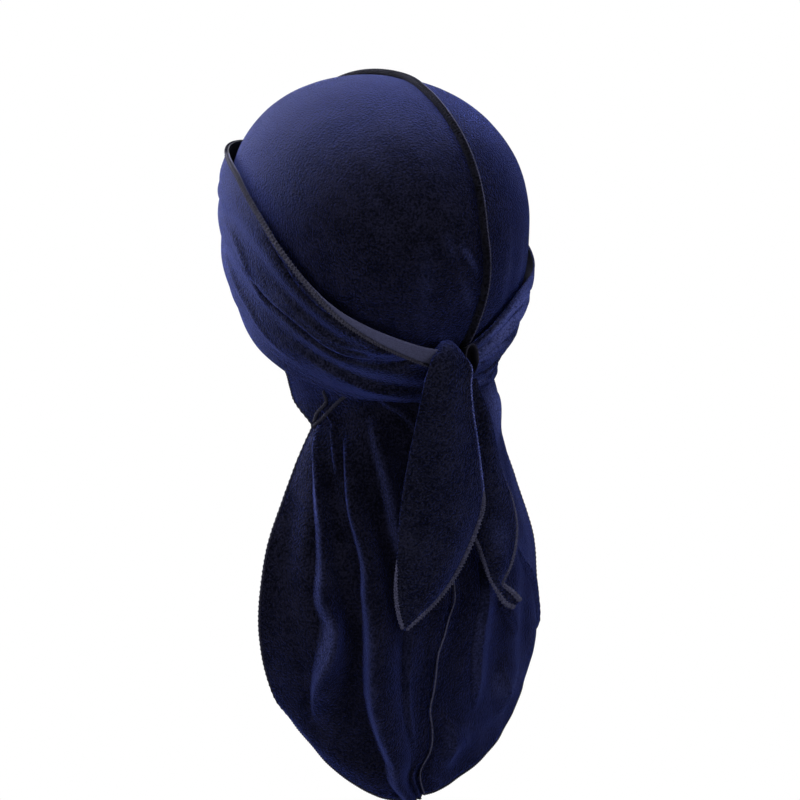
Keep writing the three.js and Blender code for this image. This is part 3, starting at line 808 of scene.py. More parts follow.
# Sharp folds over the soft ones, in rows of: fall, place across, height in millimetres,
# reach toward the seam, reach toward the edge.
tail_creases = {
    "left": folds_from([
        [(-0.02, 0.93, 0, 0.08, 0.02), (0.05, 0.9, 3, 0.09, 0.02), (0.14, 0.83, 4.5, 0.1, 0.022),
         (0.23, 0.79, 5, 0.12, 0.025), (0.4, 0.725, 5.5, 0.14, 0.028), (0.51, 0.7, 7, 0.15, 0.04),
         (0.57, 0.64, 9, 0.16, 0.055), (0.63, 0.63, 10, 0.16, 0.065),
         (0.72, 0.66, 7, 0.14, 0.05), (0.81, 0.7, 3, 0.1, 0.035), (0.87, 0.72, 0, 0.06, 0.03)],
        [(-0.06, 0.81, 0, 0.04, 0.015), (-0.02, 0.79, 2, 0.05, 0.015), (0.05, 0.76, 3, 0.05, 0.015),
         (0.11, 0.71, 2.5, 0.05, 0.015), (0.15, 0.69, 0, 0.04, 0.015)],
        [(0.05, 0.66, 0, 0.06, 0.02), (0.11, 0.63, 3, 0.08, 0.02), (0.26, 0.59, 5, 0.12, 0.022),
         (0.39, 0.505, 6.5, 0.15, 0.028), (0.49, 0.475, 8, 0.18, 0.035), (0.61, 0.41, 10, 0.2, 0.05),
         (0.74, 0.36, 11, 0.2, 0.06), (0.85, 0.3, 10, 0.18, 0.055), (0.95, 0.195, 7, 0.12, 0.045),
         (1.03, 0.11, 5, 0.08, 0.04)],
        [(0.0, 0.47, 0, 0.1, 0.06), (0.06, 0.44, 2, 0.14, 0.06), (0.17, 0.38, 3.5, 0.18, 0.06),
         (0.31, 0.34, 3.5, 0.18, 0.06), (0.41, 0.28, 2.5, 0.14, 0.05), (0.52, 0.22, 0, 0.1, 0.05)],
        [(-0.06, 0.38, 0, 0.05, 0.03), (-0.03, 0.34, 2, 0.05, 0.03), (0.04, 0.2, 2.5, 0.05, 0.03),
         (0.1, 0.11, 1.5, 0.04, 0.03), (0.14, 0.06, 0, 0.03, 0.03)],
        [(0.91, 0.07, 0, 0.03, 0.02), (0.96, 0.055, 2.5, 0.03, 0.02), (1.02, 0.05, 2, 0.03, 0.02)],
        [(0.5, 0.24, 0, 0.1, 0.05), (0.62, 0.2, 3, 0.12, 0.05), (0.78, 0.16, 3, 0.1, 0.05),
         (0.9, 0.1, 0, 0.06, 0.04)],
    ]),
    "right": folds_from([
        [(0.42, 0.19, 0, 0.025, 0.08), (0.46, 0.2, 3, 0.025, 0.1), (0.61, 0.21, 5, 0.03, 0.12),
         (0.75, 0.24, 4, 0.03, 0.1), (0.83, 0.26, 0, 0.03, 0.06)],
        [(0.5, 0.33, 0, 0.02, 0.08), (0.54, 0.36, 3, 0.022, 0.08), (0.62, 0.44, 4, 0.025, 0.1),
         (0.67, 0.5, 3, 0.025, 0.08), (0.72, 0.54, 0, 0.02, 0.06)],
        [(0.45, 0.52, 0, 0.02, 0.06), (0.49, 0.55, 2.5, 0.02, 0.06), (0.6, 0.71, 3.5, 0.022, 0.07),
         (0.82, 0.89, 2.5, 0.02, 0.05), (0.88, 0.93, 0, 0.02, 0.03)],
        [(0.8, 0.06, 0, 0.02, 0.06), (0.84, 0.1, 2.5, 0.02, 0.06), (0.89, 0.2, 2.5, 0.02, 0.06),
         (0.93, 0.27, 0, 0.02, 0.05)],
        [(0.3, 0.38, 0, 0.08, 0.14), (0.39, 0.41, 5, 0.08, 0.14), (0.47, 0.43, 0, 0.08, 0.14)],
        [(0.74, 0.42, 0, 0.1, 0.18), (0.83, 0.47, 6, 0.1, 0.18), (0.93, 0.52, 0, 0.08, 0.14)],
        [(0.82, 0.1, 0, 0.06, 0.12), (0.89, 0.13, 4.5, 0.06, 0.12), (0.96, 0.17, 0, 0.06, 0.08)],
        [(0.93, 0.04, 0, 0.02, 0.03), (0.955, 0.07, 2, 0.02, 0.03), (0.99, 0.12, 0, 0.02, 0.03)],
    ]),
}

# Fine upright wrinkles of the stretched crown: angle from the back, low and high end, width in
# degrees, height.
crown_wrinkles = {
    "left": [
        (60, -126, -84, 2.2, 0.3),
        (20, -132, -60, 5, 0.2),
    ],
    "right": [
        (-12, -128, -60, 4, 0.5),
        (-22, -120, -66, 5, 0.5),
        (-60, -100, -50, 3, 0.3),
    ],
}

# Short puckers of the crown, from one spot to another, with their reach and height.
crown_puckers = {
    "left": [
        (Vector((68, -22, -40)), Vector((75, -10, -60)), 1.3, 0.6),
        (Vector((69, -12, -38)), Vector((77, 0, -66)), 1.4, 0.8),
        (Vector((70, -6, -41)), Vector((77, 5, -67)), 1.0, 0.5),
        (Vector((66, -3, -32)), Vector((77, 12, -78)), 1.5, 1.1),
        (Vector((73, 17, -53)), Vector((75, 21, -82)), 1.2, 0.4),
        (Vector((72, 28, -57)), Vector((73, 31, -92)), 1.4, 0.7),
        (Vector((15.5, 95.3, -70.2)), Vector((3.3, 96.6, -89.3)), 2.4, 1.5),
        (Vector((15, 92, -88)), Vector((4, 93, -110)), 4, 0.9),
        (Vector((20.8, 85.7, -116)), Vector((15.9, 81, -134)), 1.6, 0.9),
        (Vector((24, 93, -62)), Vector((17, 95, -82)), 5, 0.2),
    ],
    "right": [],
}
WRINKLES_END = -140


def wrinkle_lift(side, point):
    if point.z < WRINKLES_END:
        return 0.0
    angle = math.degrees(math.atan2(point.x, point.y))
    total = 0.0
    for degrees, low, high, width, height in crown_wrinkles[side]:
        fade = bell((2 * point.z - low - high) / (high - low))
        total += height * fade * pinch((angle - degrees) / width, 1, 1)
    for start, end, reach, height in crown_puckers[side]:
        run = end - start
        s = clamp01((point - start).dot(run) / run.length_squared)
        distance = (point - start - run * s).length
        total += height * math.sin(math.pi * s) * pinch(distance / reach, 1, 1)
    return total


# Uneven cloth: how closely each swell repeats, and its height in millimetres.
BROAD_SWELL, BROAD_HEIGHT = 0.035, 0.35
SMALL_SWELL, SMALL_HEIGHT = 0.11, 0.12
LOOSE_ACROSS, LOOSE_DOWN, LOOSE_PLACE, LOOSE_HEIGHT = 7, 1.6, 3.1, 1.3
LOOSE_FROM, LOOSE_SPREAD = -0.1, 0.3
SEAM_FLAT = 0.06


def panel_relief(side):
    def lift(u, v):
        point = panel_point(side, u, v)
        fall = fall_at(u)
        rough = (noise.noise(point * BROAD_SWELL) * BROAD_HEIGHT
                 + noise.noise(point * SMALL_SWELL) * SMALL_HEIGHT)
        crease = fold_lift(tail_creases[side], fall, v)
        spot = Vector((v * LOOSE_ACROSS, fall * LOOSE_DOWN, LOOSE_PLACE * SIGN[side]))
        loose = noise.noise(spot) * LOOSE_HEIGHT * smooth((fall - LOOSE_FROM) / LOOSE_SPREAD)
        at_seam = smooth(v / SEAM_FLAT)
        return (crease + loose + rough) * at_seam + wrinkle_lift(side, point)
    return lift


# Painted highlight from a table of patches.
def patch_highlight(patches, along, across):
    return sum(
        amount * bell((along - u) / reach_u) * bell((across - v) / reach_v)
        for u, v, reach_u, reach_v, amount in patches)


# Painted highlights on the panels: fall, place across, their reaches and how strong.
tail_highlights = {
    "left": [
        (0.2, 0.3, 0.25, 0.14, 0.04),
        (-0.68, 0.1, 0.3, 0.16, 0.08),
        (-0.62, 0.3, 0.22, 0.22, 0.05),
    ],
    "right": [(0.82, 0.36, 0.12, 0.22, 0.07), (0.05, 0.62, 0.13, 0.26, 1.9)],
}
# Strength of the painted highlight on the tail and on the crown's wrinkles, and the streaks that
# break it up on the tail.
TAIL_HIGHLIGHT, WRINKLE_HIGHLIGHT = 0.42, 0.33
STREAKS_ACROSS, STREAKS_DOWN, STREAKS_PLACE = 22, 3, 8.1
STREAK_MEAN, STREAK_DEPTH = 0.7, 0.9


# Painted highlight over a panel: on the tail's fold flanks and patches, and along the crown's
# wrinkles.
def panel_highlight(side):
    def highlight_at(u, v):
        fall = fall_at(u)
        spot = Vector((v * STREAKS_ACROSS, fall * STREAKS_DOWN, STREAKS_PLACE * SIGN[side]))
        streaks = STREAK_MEAN + STREAK_DEPTH * noise.noise(spot)
        patches = patch_highlight(tail_highlights[side], fall, v) * streaks
        tail = fold_highlight(tail_creases[side], fall, v) + patches
        return tail * TAIL_HIGHLIGHT + wrinkle_lift(side, panel_point(side, u, v)) * WRINKLE_HIGHLIGHT
    return highlight_at


panels = {
    side: cloth_piece(
        f"{side}_panel_cloth", lambda u, v, s=side: panel_point(s, u, v),
        PANEL_ROWS, PANEL_COLUMNS, [navy, wrong_side], panel_highlight(side),
        flip=(side == "right"), relief=panel_relief(side))
    for side in SIDES
}
STEP = 1e-3


def lifted(side, u, v, out):
    """A point just off a panel's cloth, out millimetres from its inner skin."""
    here = panel_point(side, u, v)
    down = panel_point(side, min(1, u + STEP), v) - panel_point(side, max(0, u - STEP), v)
    over = panel_point(side, u, min(1, v + STEP)) - panel_point(side, u, max(0, v - STEP))
    normal = over.cross(down).normalized() * SIGN[side]
    return here + normal * (out + panel_relief(side)(u, v))


# ---------- hems ----------
HEM_RADIUS = 0.95
HEM_CORNER = 0.62      # share of a hem where it turns from the side to the bottom
HEM_STOP = 0.005       # how far from the seam the bottom hem ends, across the panel


def panel_hem_path(side):
    def path(s):
        if s < HEM_CORNER:
            return lifted(side, s / HEM_CORNER, 1, CLOTH / 2)
        across = 1 - (s - HEM_CORNER) / (1 - HEM_CORNER) * (1 - HEM_STOP)
        return lifted(side, 1, across, CLOTH / 2)
    return path


panel_hems = {
    side: stitched_hem(
        f"{side}_panel_hem", panel_hem_path(side), even(HEM_RADIUS), [dark_thread])
    for side in SIDES
}

# Where the panel turns in behind the ear its hem and a tuck lie side by side: places along
# and across the panel.
FLAP_RADIUS = 1.0
FLAP_HEMS = (
    [(0.544, 0.527), (0.548, 0.597), (0.565, 0.795), (0.578, 0.96), (0.584, 0.993)],
    [(0.531, 0.695), (0.548, 0.718), (0.561, 0.859), (0.574, 0.966)],
)


def flap_path(spots):
    line = track([(i / (len(spots) - 1), *spot) for i, spot in enumerate(spots)])
    return lambda s: lifted("left", *line(s), CLOTH + FLAP_RADIUS / 2)


flap_hems = [
    stitched_hem(f"flap_hem_{i + 1}", flap_path(spots), even(FLAP_RADIUS), [dark_thread])
    for i, spots in enumerate(FLAP_HEMS)
]

# ---------- raised seams ----------
# Each seam's start and end along the panels, from the forehead to the tail's hem.
CROWN_SEAM = (0.071, 0.54)
TAIL_SEAM = (0.61, 1.0)
SEAM_SIDE = 0.02       # how far across the panels the seam's direction is taken


def seam_path(span, height):
    def path(s):
        along = mix(*span, s)
        left = panel_point("left", along, 0)
        right = panel_point("right", along, 0)
        ahead = (panel_point("left", along + STEP, 0) - left).normalized()
        beside = panel_point("left", along, SEAM_SIDE) - panel_point("right", along, SEAM_SIDE)
        beside.normalize()
        outward = beside.cross(ahead).normalized()
        return (left + right) / 2 + outward * (CLOTH + SEAM_CLEARANCE + height), outward, beside
    return path


RIDGE_FOOT = 0.95      # how far the ridge's foot reaches down into the cloth
RIDGE_SIDES = 12
PUCKER_ROWS, PUCKER_BITE = 4, 0.16
RIDGE_TIP_ROWS, RIDGE_TIP_LEAST = 3, 0.05
FOOT_FULLNESS = 0.4


def ridge_piece(name, span, width, height, rows, material):
    """The folded seam allowance: a full, puckered ridge whose foot sits in the cloth."""
    path = seam_path(span, height / 2)
    frames = [path(i / rows) for i in range(rows + 1)]

    def place(u, v):
        middle, outward, beside = frames[round(u * rows)]
        turn = 2 * math.pi * v
        pucker = math.sin(2 * math.pi * rows / PUCKER_ROWS * u)
        swell = 1 + PUCKER_BITE * pucker * max(0, math.sin(turn))
        tip = math.sqrt(clamp01(min(u, 1 - u) * rows / RIDGE_TIP_ROWS + RIDGE_TIP_LEAST))
        side, rise = math.cos(turn), math.sin(turn)
        if rise < 0:
            side = math.copysign(abs(side) ** FOOT_FULLNESS, side)
            rise *= 1 + 2 * RIDGE_FOOT / height
        return middle + (beside * (width * side) + outward * (height * rise)) * swell * tip / 2

    mesh_data, bm, spots = grid_piece(name, place, rows, RIDGE_SIDES)
    return closed_piece(name, mesh_data, bm, [material])


crown_ridge = ridge_piece(
    "crown_seam_ridge", CROWN_SEAM, width=3.7, height=3.0, rows=640, material=navy_seam)
tail_ridge = ridge_piece(
    "tail_seam_ridge", TAIL_SEAM, width=1.8, height=1.2, rows=360, material=navy)
SEAM_THREAD_RADIUS = 0.5
WANDER_WAVES, WANDER_PLACE = 16, 3.7


def seam_thread(name, span, height, aside, wander):
    """The seam's thread, aside of its middle; it wanders from side to side on the way."""
    path = seam_path(span, height)

    def line(s):
        middle, outward, beside = path(s)
        stray = noise.noise(Vector((s * WANDER_WAVES, 0, WANDER_PLACE)))
        return middle + beside * (aside + wander * stray)
    return stitched_hem(name, line, even(SEAM_THREAD_RADIUS), [thread], sides=6)


crown_thread = seam_thread("crown_seam_thread", CROWN_SEAM, height=2.3, aside=-1.6, wander=0)
tail_thread = seam_thread("tail_seam_thread", TAIL_SEAM, height=1.3, aside=-0.3, wander=2.4)

# ---------- straps ----------
STRAP_ROWS, STRAP_COLUMNS = 330, 96
TURN_SHARE = 0.16      # share of the left strap's grid that is its turned-out edge

# Tables of angle from the back and millimetres: the turned edge's radius and how far it comes
# down, then how far the left strap stands off, how loose it lies and how much higher its top
# edge runs than its route.
turn_radius = track([(125, 0.5), (-285, 0.5), (-305, 0.8), (-325, 1.1), (-349, 1.1)])
turnback = track([
    (125, 0.4), (-285, 0.4), (-297, 1.4), (-305, 3.4), (-316, 5.6), (-330, 8), (-342, 9.8),
    (-349, 10)])
stand_off = track([
    (125, 0), (-195, 0), (-208, 0.8), (-221, 1.4), (-235, 0.8), (-250, 0), (-290, 0),
    (-305, 1), (-349, 1.4)])
loft = track([(125, 0), (-258, 0), (-275, 1.4), (-290, 2.6), (-335, 2.6), (-349, 1.2)])
top_rise = track([
    (125, 0), (-14, 0), (-22, 3), (-31, 6), (-40, 3), (-48, 0),
    (-138, 0), (-146, 6), (-157, 12), (-166, 8), (-176, 0),
    (-290, 0), (-305, 0.8), (-325, 3.6), (-349, 4.4)])

# Pleats of the wrapped straps, in rows of: angle, place across, height in millimetres,
# reach downward, reach upward.
strap_folds = {
    "left": folds_from([
        [(-8, 0.84, 0, 0.12, 0.06), (-15, 0.84, 1.4, 0.14, 0.07), (-25, 0.78, 1.8, 0.14, 0.07),
         (-37, 0.76, 1.4, 0.12, 0.06), (-50, 0.76, 0, 0.1, 0.05)],
        [(-8, 0.62, 0, 0.12, 0.06), (-15, 0.58, 1.3, 0.13, 0.07), (-25, 0.46, 1.7, 0.13, 0.07),
         (-37, 0.36, 1.3, 0.12, 0.06), (-50, 0.3, 0, 0.1, 0.05)],
        [(-10, 0.4, 0, 0.1, 0.06), (-17, 0.3, 1.2, 0.12, 0.07), (-27, 0.14, 1.4, 0.12, 0.07),
         (-38, 0.06, 0, 0.1, 0.05)],
        [(-260, 0.5, 0, 0.05, 0.03), (-274, 0.46, -3.4, 0.06, 0.03), (-289, 0.5, -5.5, 0.06, 0.03),
         (-305, 0.5, -6, 0.06, 0.035), (-312, 0.54, -6, 0.06, 0.04),
         (-325, 0.66, -5, 0.07, 0.045), (-335, 0.8, -3, 0.07, 0.04), (-343, 0.86, 0, 0.05, 0.04)],
        [(-276, 0.6, 0, 0.1, 0.1), (-285, 0.62, 1.6, 0.1, 0.12), (-305, 0.64, 1.8, 0.1, 0.12),
         (-322, 0.78, 1.4, 0.08, 0.08), (-334, 0.9, 0, 0.06, 0.06)],
        [(-240, 0.62, 0, 0.08, 0.05), (-252, 0.6, 1.2, 0.08, 0.05), (-262, 0.56, 1.8, 0.08, 0.05),
         (-269, 0.46, 1.6, 0.08, 0.05), (-277, 0.36, 0, 0.06, 0.05)],
        [(-238, 0.34, 0, 0.06, 0.05), (-249, 0.28, 1.6, 0.06, 0.05), (-257, 0.23, 1.8, 0.06, 0.05),
         (-265, 0.2, 1.6, 0.06, 0.05), (-273, 0.14, 1.2, 0.06, 0.05), (-288, 0.1, 0, 0.05, 0.05)],
        [(-284, 0.27, 0, 0.1, 0.1), (-295, 0.24, 1.4, 0.1, 0.12), (-308, 0.22, 1.6, 0.1, 0.14),
         (-321, 0.16, 1.4, 0.1, 0.12), (-346, 0.05, 0, 0.05, 0.1)],
        [(-308, 0.6, 0, 0.05, 0.05), (-314, 0.62, 1.4, 0.05, 0.05), (-321, 0.76, 1.6, 0.05, 0.05),
         (-328, 0.88, 1, 0.05, 0.05), (-333, 0.93, 0, 0.04, 0.04)],
        [(-214, 0.72, 0, 0.1, 0.08), (-228, 0.7, 1.4, 0.1, 0.08), (-243, 0.72, 1.4, 0.1, 0.06),
         (-256, 0.78, 0, 0.08, 0.05)],
    ]),
    "right": folds_from([
        [(-300, 0.66, 0, 0.05, 0.04), (-320, 0.76, -1.4, 0.05, 0.04), (-335, 0.85, -1.6, 0.05, 0.04),
         (-348, 0.9, 0, 0.04, 0.03)],
        [(-312, 0.6, 0, 0.1, 0.2), (-326, 0.62, 1.6, 0.12, 0.25), (-341, 0.52, 2.4, 0.14, 0.3),
         (-351, 0.54, 1.8, 0.12, 0.25), (-362, 0.5, 0, 0.1, 0.2)],
        [(-318, 0.24, 0, 0.08, 0.12), (-332, 0.26, 1.6, 0.08, 0.14), (-348, 0.3, 1.4, 0.08, 0.12),
         (-360, 0.34, 0, 0.08, 0.1)],
        [(-334, 0.1, 0, 0.03, 0.02), (-344, 0.2, 1.6, 0.04, 0.02), (-352, 0.3, 2, 0.04, 0.02),
         (-361, 0.42, 1, 0.03, 0.02)],
        [(-336, 0.0, 0, 0.03, 0.02), (-345, 0.1, 1.6, 0.04, 0.02), (-353, 0.2, 2, 0.04, 0.02),
         (-361, 0.34, 1, 0.03, 0.02)],
        [(-330, 0.36, 0, 0.04, 0.02), (-342, 0.42, 1.4, 0.05, 0.02), (-352, 0.48, 1.6, 0.04, 0.02),
         (-361, 0.52, 1, 0.03, 0.02)],
    ]),
}

# Creases pressed into the pleats, as narrow grooves, in the same rows.
strap_creases = {
    "left": folds_from([
        [(-274, 0.94, 0, 0.02, 0.014), (-281, 0.92, -1.6, 0.022, 0.016),
         (-289, 0.88, -2.4, 0.024, 0.018), (-299, 0.88, -2.6, 0.024, 0.018),
         (-307, 0.93, -2, 0.024, 0.018), (-318, 0.92, -2, 0.024, 0.018),
         (-330, 0.84, -2.4, 0.024, 0.018), (-340, 0.82, -2, 0.024, 0.018),
         (-346, 0.82, 0, 0.02, 0.014)],
        [(-266, 0.46, 0, 0.02, 0.014), (-274, 0.46, -1.8, 0.024, 0.018),
         (-289, 0.5, -3, 0.026, 0.02), (-305, 0.5, -3.4, 0.026, 0.02),
         (-312, 0.54, -3.4, 0.026, 0.02), (-325, 0.66, -3.2, 0.026, 0.02),
         (-335, 0.8, -2.4, 0.024, 0.018), (-342, 0.84, 0, 0.02, 0.014)],
    ]),
    "right": [],
}


# The outer layer of a strap lies unevenly.
OUTER_LAYER, OUTER_START = 2.9, 2.4
DRIFT_ACROSS, DRIFT_ALONG, DRIFT_PLACE, DRIFT_HEIGHT = 4, 0.02, 2.0, 0.9


def strap_extra(side, degrees, across):
    """How far the strap's cloth stands off its plain layer: folds, looseness, unevenness."""
    total = fold_lift(strap_folds[side], degrees, across)
    layer = strap_route[side](degrees)[2]
    if side == "left":
        total += loft(degrees)[0]
    if layer > OUTER_LAYER:
        drift = Vector((across * DRIFT_ACROSS, degrees * DRIFT_ALONG, SIGN[side] * DRIFT_PLACE))
        total += noise.noise(drift) * DRIFT_HEIGHT * smooth(layer - OUTER_START)
    return total


CALM = 0.22            # share of the left strap's width that is calm below its turned edge


def strap_place(side):
    def place(u, v):
        degrees = mix(*STRAP_SPAN[side], u)
        if side == "right":
            return strap_point(side, u, v, strap_extra(side, degrees, v))
        body = 1 - TURN_SHARE
        base = loft(degrees)[0] + stand_off(degrees)[0]
        rise = top_rise(degrees)[0]
        if v <= body:
            across = v / body
            edge = smooth((1 - across) / CALM)
            station = strap_route[side](degrees)
            fold = station[3] * (0.5 - 0.5 * math.cos(2 * math.pi * PLEATS * across))
            extra = mix(base - fold, strap_extra(side, degrees, across), edge)
            extra += fold_lift(strap_creases[side], degrees, across)
            return strap_point(side, u, across, extra, rise)
        middle, width, layer, pleat = strap_route[side](degrees)
        radius = turn_radius(degrees)[0]
        bend = math.pi * radius
        run = (v - body) / TURN_SHARE * (bend + turnback(degrees)[0])
        top = middle + width / 2 + rise
        if run < bend:
            turn = run / radius
            out = radius * (1 - math.cos(turn))
            height = top + radius * math.sin(turn)
        else:
            out = 2 * radius
            height = top - (run - bend)
        return head_point(math.radians(degrees), height, layer * LAYER_PITCH + base + out)
    return place


# Painted highlights on the straps: angle, place across, their reaches and how strong.
strap_highlights = {
    "left": [(-232, 0.3, 34, 0.5, 0.1), (-300, 0.35, 46, 0.5, 0.045), (-26, 0.5, 24, 0.8, 0.35)],
    "right": [(-338, 0.72, 36, 0.46, 1.5), (-352, 0.35, 24, 0.4, 1.2)],
}
FRONT_START, FRONT_PART = -150, -232   # angles where the forehead's stretch starts and ends


RUFFLE_ACROSS, RUFFLE_ALONG, RUFFLE_PLACE = 9, 0.05, 5.5
RUFFLE_MEAN, RUFFLE_DEPTH = 0.6, 0.9


# Painted highlight over a strap, ruffled along its length.
def strap_highlight(side):
    def highlight_at(u, v):
        degrees = mix(*STRAP_SPAN[side], u)
        across = v / (1 - TURN_SHARE) if side == "left" else v
        highlight_share = patch_highlight(strap_highlights[side], degrees, across)
        spot = Vector((across * RUFFLE_ACROSS, degrees * RUFFLE_ALONG, RUFFLE_PLACE))
        return highlight_share * (RUFFLE_MEAN + RUFFLE_DEPTH * noise.noise(spot))
    return highlight_at


# The left strap's materials come in pairs, face then back; each name is its pair's first.
PLAIN_BACK, PAINTED_SHADE_BACK, HIDDEN_BACK = 0, 2, 4
STRAP_MATERIALS = [navy_strap, wrong_side, navy_strap, painted_shade_back, navy_strap, navy_strap]


def strap_backs(side):
    """The back is matte where the edge turns out, painted with shade over the forehead, velvet
    before it.
    """
    def backs(u, v):
        degrees = mix(*STRAP_SPAN[side], u)
        if side == "right" or degrees < FRONT_PART:
            return PLAIN_BACK
        return PAINTED_SHADE_BACK if degrees < FRONT_START else HIDDEN_BACK
    return backs


straps = {
    side: cloth_piece(
        f"{side}_strap_cloth", strap_place(side), STRAP_ROWS, STRAP_COLUMNS, STRAP_MATERIALS,
        strap_highlight(side), flip=(side == "left"), backs=strap_backs(side))
    for side in SIDES
}
STRAP_HEM_OUT = 0.5


def left_strap_edge(start, end):
    """The turned-out edge of the left strap between two angles."""
    place = strap_place("left")
    first, last = STRAP_SPAN["left"]

    def path(s):
        degrees = mix(start, end, s)
        point = place((first - degrees) / (first - last), 1)
        away = Vector((point.x, point.y, 0)).normalized()
        return point + away * STRAP_HEM_OUT
    return path


# Rows: share of the hem's length and its radius there.
strap_hem_radius = track([(0, 0.9), (0.2, 1.2), (0.6, 1.3), (0.72, 1.0), (1, 0.8)])
front_hem_radius = track([(0, 0.15), (0.35, 0.8), (1, 0.9)])
HEM_START, HEM_LAST = -184, -346
left_strap_hem = stitched_hem(
    "left_strap_hem", left_strap_edge(FRONT_PART, HEM_LAST), strap_hem_radius, [hem_thread],
    bite=0.8)
left_strap_front_hem = stitched_hem(
    "left_strap_front_hem", left_strap_edge(HEM_START, FRONT_PART), front_hem_radius,
    [navy_seam])

# ---------- free ends ----------
END_ROWS, END_COLUMNS = 110, 28
DRAPE_WAVES, DRAPE_PLACE, DRAPE_HEIGHT = 3, 9.3, 1.3
DRAPE_FROM_KNOT, DRAPE_FROM_HEM = 0.2, 0.12


def end_relief(side):
    def lift(u, v):
        spot = Vector((v * DRAPE_WAVES, u * DRAPE_WAVES, DRAPE_PLACE * SIGN[side]))
        drape = noise.noise(spot) * DRAPE_HEIGHT
        return drape * smooth(u / DRAPE_FROM_KNOT) * smooth((1 - u) / DRAPE_FROM_HEM)
    return lift


# Painted highlights on the free ends: place along and across, their reaches and how strong.
end_highlights = {
    "left": [(0.04, 0.5, 0.12, 0.6, 0.12)],
    "right": [(0.66, 0.45, 0.12, 0.34, 0.15)],
}
ends = {
    side: cloth_piece(
        f"{side}_end_cloth", lambda u, v, s=side: end_point(s, u, v),
        END_ROWS, END_COLUMNS, [navy_strap, wrong_side],
        lambda u, v, s=side: patch_highlight(end_highlights[s], u, v), relief=end_relief(side))
    for side in SIDES
}


def end_edge_path(side, v, start, end):
    def path(s):
        u = mix(start, end, s)
        point = end_point(side, u, v)
        out = knot_space(1, 0, 0)
        return point + out * (CLOTH / 2 + end_relief(side)(u, v))
    return path


# Hems of the free ends: shares of the run where each starts and stops, its radius, its stuff.
END_HEMS = {
    ("left", "left"): (0.76, 1.0, track([(0, 0.5), (0.3, 1.2), (1, 1.4)]), thread),
    ("left", "right"): (0.56, 1.0, track([(0, 0.6), (0.16, 1.8), (0.9, 2.0), (1, 1.3)]), thread),
    # The left end's folded edge is a thin roll of velvet painted with a highlight.
    ("left", "fold"): (0.01, 0.58, track([(0, 0.6), (1, 0.85)]), edge_highlight_velvet),
    ("right", "left"): (0.5, 1.0, track([(0, 0.5), (0.3, 1.3), (1, 1.6)]), thread),
    ("right", "right"): (0.3, 1.0, track([(0, 0.5), (0.3, 0.8), (0.6, 1.3), (1, 1.6)]), thread),
}
end_hems = {
    (side, edge): stitched_hem(
        f"{side}_end_{edge}_hem", end_edge_path(side, 1.0 if edge == "left" else 0.0, start, stop),
        radius, [stuff], sides=8, bite=0.45)
    for (side, edge), (start, stop, radius, stuff) in END_HEMS.items()
}

# ---------- knot ----------
CREASE_SLANT, CREASES, CREASE_DEPTH = 0.5, 3, 0.1
LUMP_WAVES, LUMP_HEIGHT = 3, 0.03


def make_knot():
    """One rounded bundle with slanted creases."""
    mesh_data = bpy.data.meshes.new("knot_cloth")
    bm = bmesh.new()
    bmesh.ops.create_icosphere(bm, subdivisions=5, radius=1)
    for vert in bm.verts:
        p = vert.co.copy()
        slant = p.x + CREASE_SLANT * p.z
        crease = 0.5 - 0.5 * math.cos(math.pi * CREASES * slant)
        size = 1 - CREASE_DEPTH * crease + LUMP_HEIGHT * noise.noise(p * LUMP_WAVES)
        placed = knot_space(
            KNOT_OUT + size * (KNOT_DEPTH * p.y + KNOT_LEAN * KNOT_TALL * p.z) / 2,
            KNOT_ASIDE + size * KNOT_WIDTH * p.x / 2,
            KNOT_HEIGHT + size * KNOT_TALL * p.z / 2,
        )
        vert.co = placed * MM
    for face in bm.faces:
        face.smooth = True
    bmesh.ops.recalc_face_normals(bm, faces=bm.faces)
    return finish_piece("knot_cloth", mesh_data, bm, [navy_strap])


knot_piece = make_knot()

# Beside the free end the strap's cloth rolls in to a throat, lined with near-black knit that paints
# the shade inside it: rows of the share of the run over its lip, its size and its distance out.
THROAT_ASIDE, THROAT_HEIGHT = -13.6, -138.5
THROAT_WIDTH, THROAT_TALL = 4.0, 8.8
THROAT_ROWS, THROAT_COLUMNS, THROAT_MERGE = 40, 48, 1e-5
throat_section = track([
    (0, 0.45, 84), (0.3, 0.62, 90), (0.48, 0.96, 95.2), (0.54, 1.0, 95.6), (0.62, 0.9, 94.6),
    (0.84, 0.7, 90), (1, 0.04, 88.6)])


def throat_place(u, v):
    size, out = throat_section(u)
    turn = 2 * math.pi * v
    aside = THROAT_ASIDE + size * THROAT_WIDTH * math.cos(turn)
    return knot_space(out, aside, THROAT_HEIGHT + size * THROAT_TALL * math.sin(turn))


def make_throat():
    mesh_data, bm, spots = grid_piece("knot_throat", throat_place, THROAT_ROWS, THROAT_COLUMNS)
    return closed_piece("knot_throat", mesh_data, bm, [painted_shade_back], merge=THROAT_MERGE)


throat = make_throat()
LIP_SHARE, LIP_START, LIP_SWEEP, LIP_RADIUS = 0.53, 0.17, 0.72, 0.35
throat_lip = stitched_hem(
    "knot_throat_lip", lambda s: throat_place(LIP_SHARE, s * LIP_SWEEP - LIP_START),
    even(LIP_RADIUS), [dark_thread], sides=7, bite=0.1)

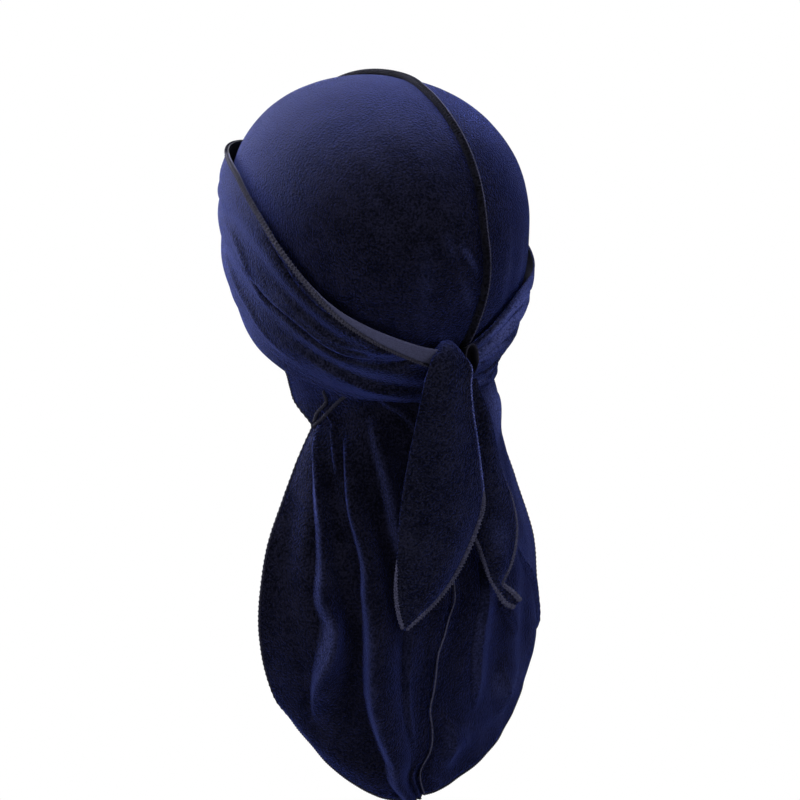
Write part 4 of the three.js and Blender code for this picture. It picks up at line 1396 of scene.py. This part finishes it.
# ---------- what each piece stands for ----------
NODES = {
    panels["left"]: ["left_panel"],
    panels["right"]: ["right_panel"],
    crown_ridge: ["crown_seam"],
    tail_ridge: ["tail_seam"],
    straps["left"]: ["strap_left"],
    straps["right"]: ["strap_right"],
    ends["left"]: ["strap_left_end"],
    ends["right"]: ["strap_right_end"],
    knot_piece: ["knot"],
}
SLOTS = {
    "panel_velvet": [*panels.values(), *panel_hems.values(), *flap_hems],
    "seam_velvet": [crown_ridge, tail_ridge, crown_thread, tail_thread],
    "strap_velvet": [
        *straps.values(), *ends.values(), *end_hems.values(), knot_piece, throat,
        throat_lip, left_strap_hem, left_strap_front_hem],
}
for slot_name, members in SLOTS.items():
    for piece in members:
        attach(piece, "root")
for piece, nodes in NODES.items():
    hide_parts(*nodes)

# ---------- floor, light and world ----------
FLOOR_DROP, FLOOR_SIZE = 0.09, 30


def make_floor():
    mesh_data = bpy.data.meshes.new("floor")
    bm = bmesh.new()
    bmesh.ops.create_grid(bm, x_segments=1, y_segments=1, size=FLOOR_SIZE)
    for vert in bm.verts:
        vert.co.z = cad_low[2] - FLOOR_DROP
    material, tree, shader = new_material("floor_white")
    set_inputs(shader, {
        "Base Color": (0, 0, 0, 1), "Specular IOR Level": 0,
        "Emission Color": (1, 1, 1, 1), "Emission Strength": 1})
    floor = finish_piece("floor", mesh_data, bm, [material])


LAMP_DISTANCE, LAMP_SIZE = 1.8, 0.9
WORLD_STRENGTH = 0.35
LAMP_TARGET = Vector((0, 0, -0.12))

# Soft round lamps about the durag: angle round it, angle above it, watts.
STUDIO = {
    "key_low": (-82, 10, 160),
    "key_high": (-82, 45, 246),
    "behind": (-127, 45, 75),
    "far_side": (143, 45, 34),
    "top": (0, 88, 45),
    "near_side": (8, 10, 55),
    "near_left": (-37, 10, 25),
    "near_right": (98, 10, 28),
}


def soft_lamp(name, around, above, watts):
    data = bpy.data.lights.new(name, "AREA")
    data.shape = "DISK"
    data.size = LAMP_SIZE
    data.energy = watts
    around, above = math.radians(around), math.radians(above)
    toward = Vector((
        math.cos(around) * math.cos(above), math.sin(around) * math.cos(above), math.sin(above)))
    lamp = bpy.data.objects.new(name, data)
    bpy.context.scene.collection.objects.link(lamp)
    lamp.location = LAMP_TARGET + toward * LAMP_DISTANCE
    lamp.rotation_euler = (-toward).to_track_quat("-Z", "Y").to_euler()


make_floor()
for lamp_name, settings in STUDIO.items():
    soft_lamp(lamp_name, *settings)

world = bpy.data.worlds.new("studio")
world.use_nodes = True
set_inputs(
    world.node_tree.nodes["Background"], {"Color": (1, 1, 1, 1), "Strength": WORLD_STRENGTH})
bpy.context.scene.world = world
bpy.context.scene.view_settings.view_transform = "Standard"
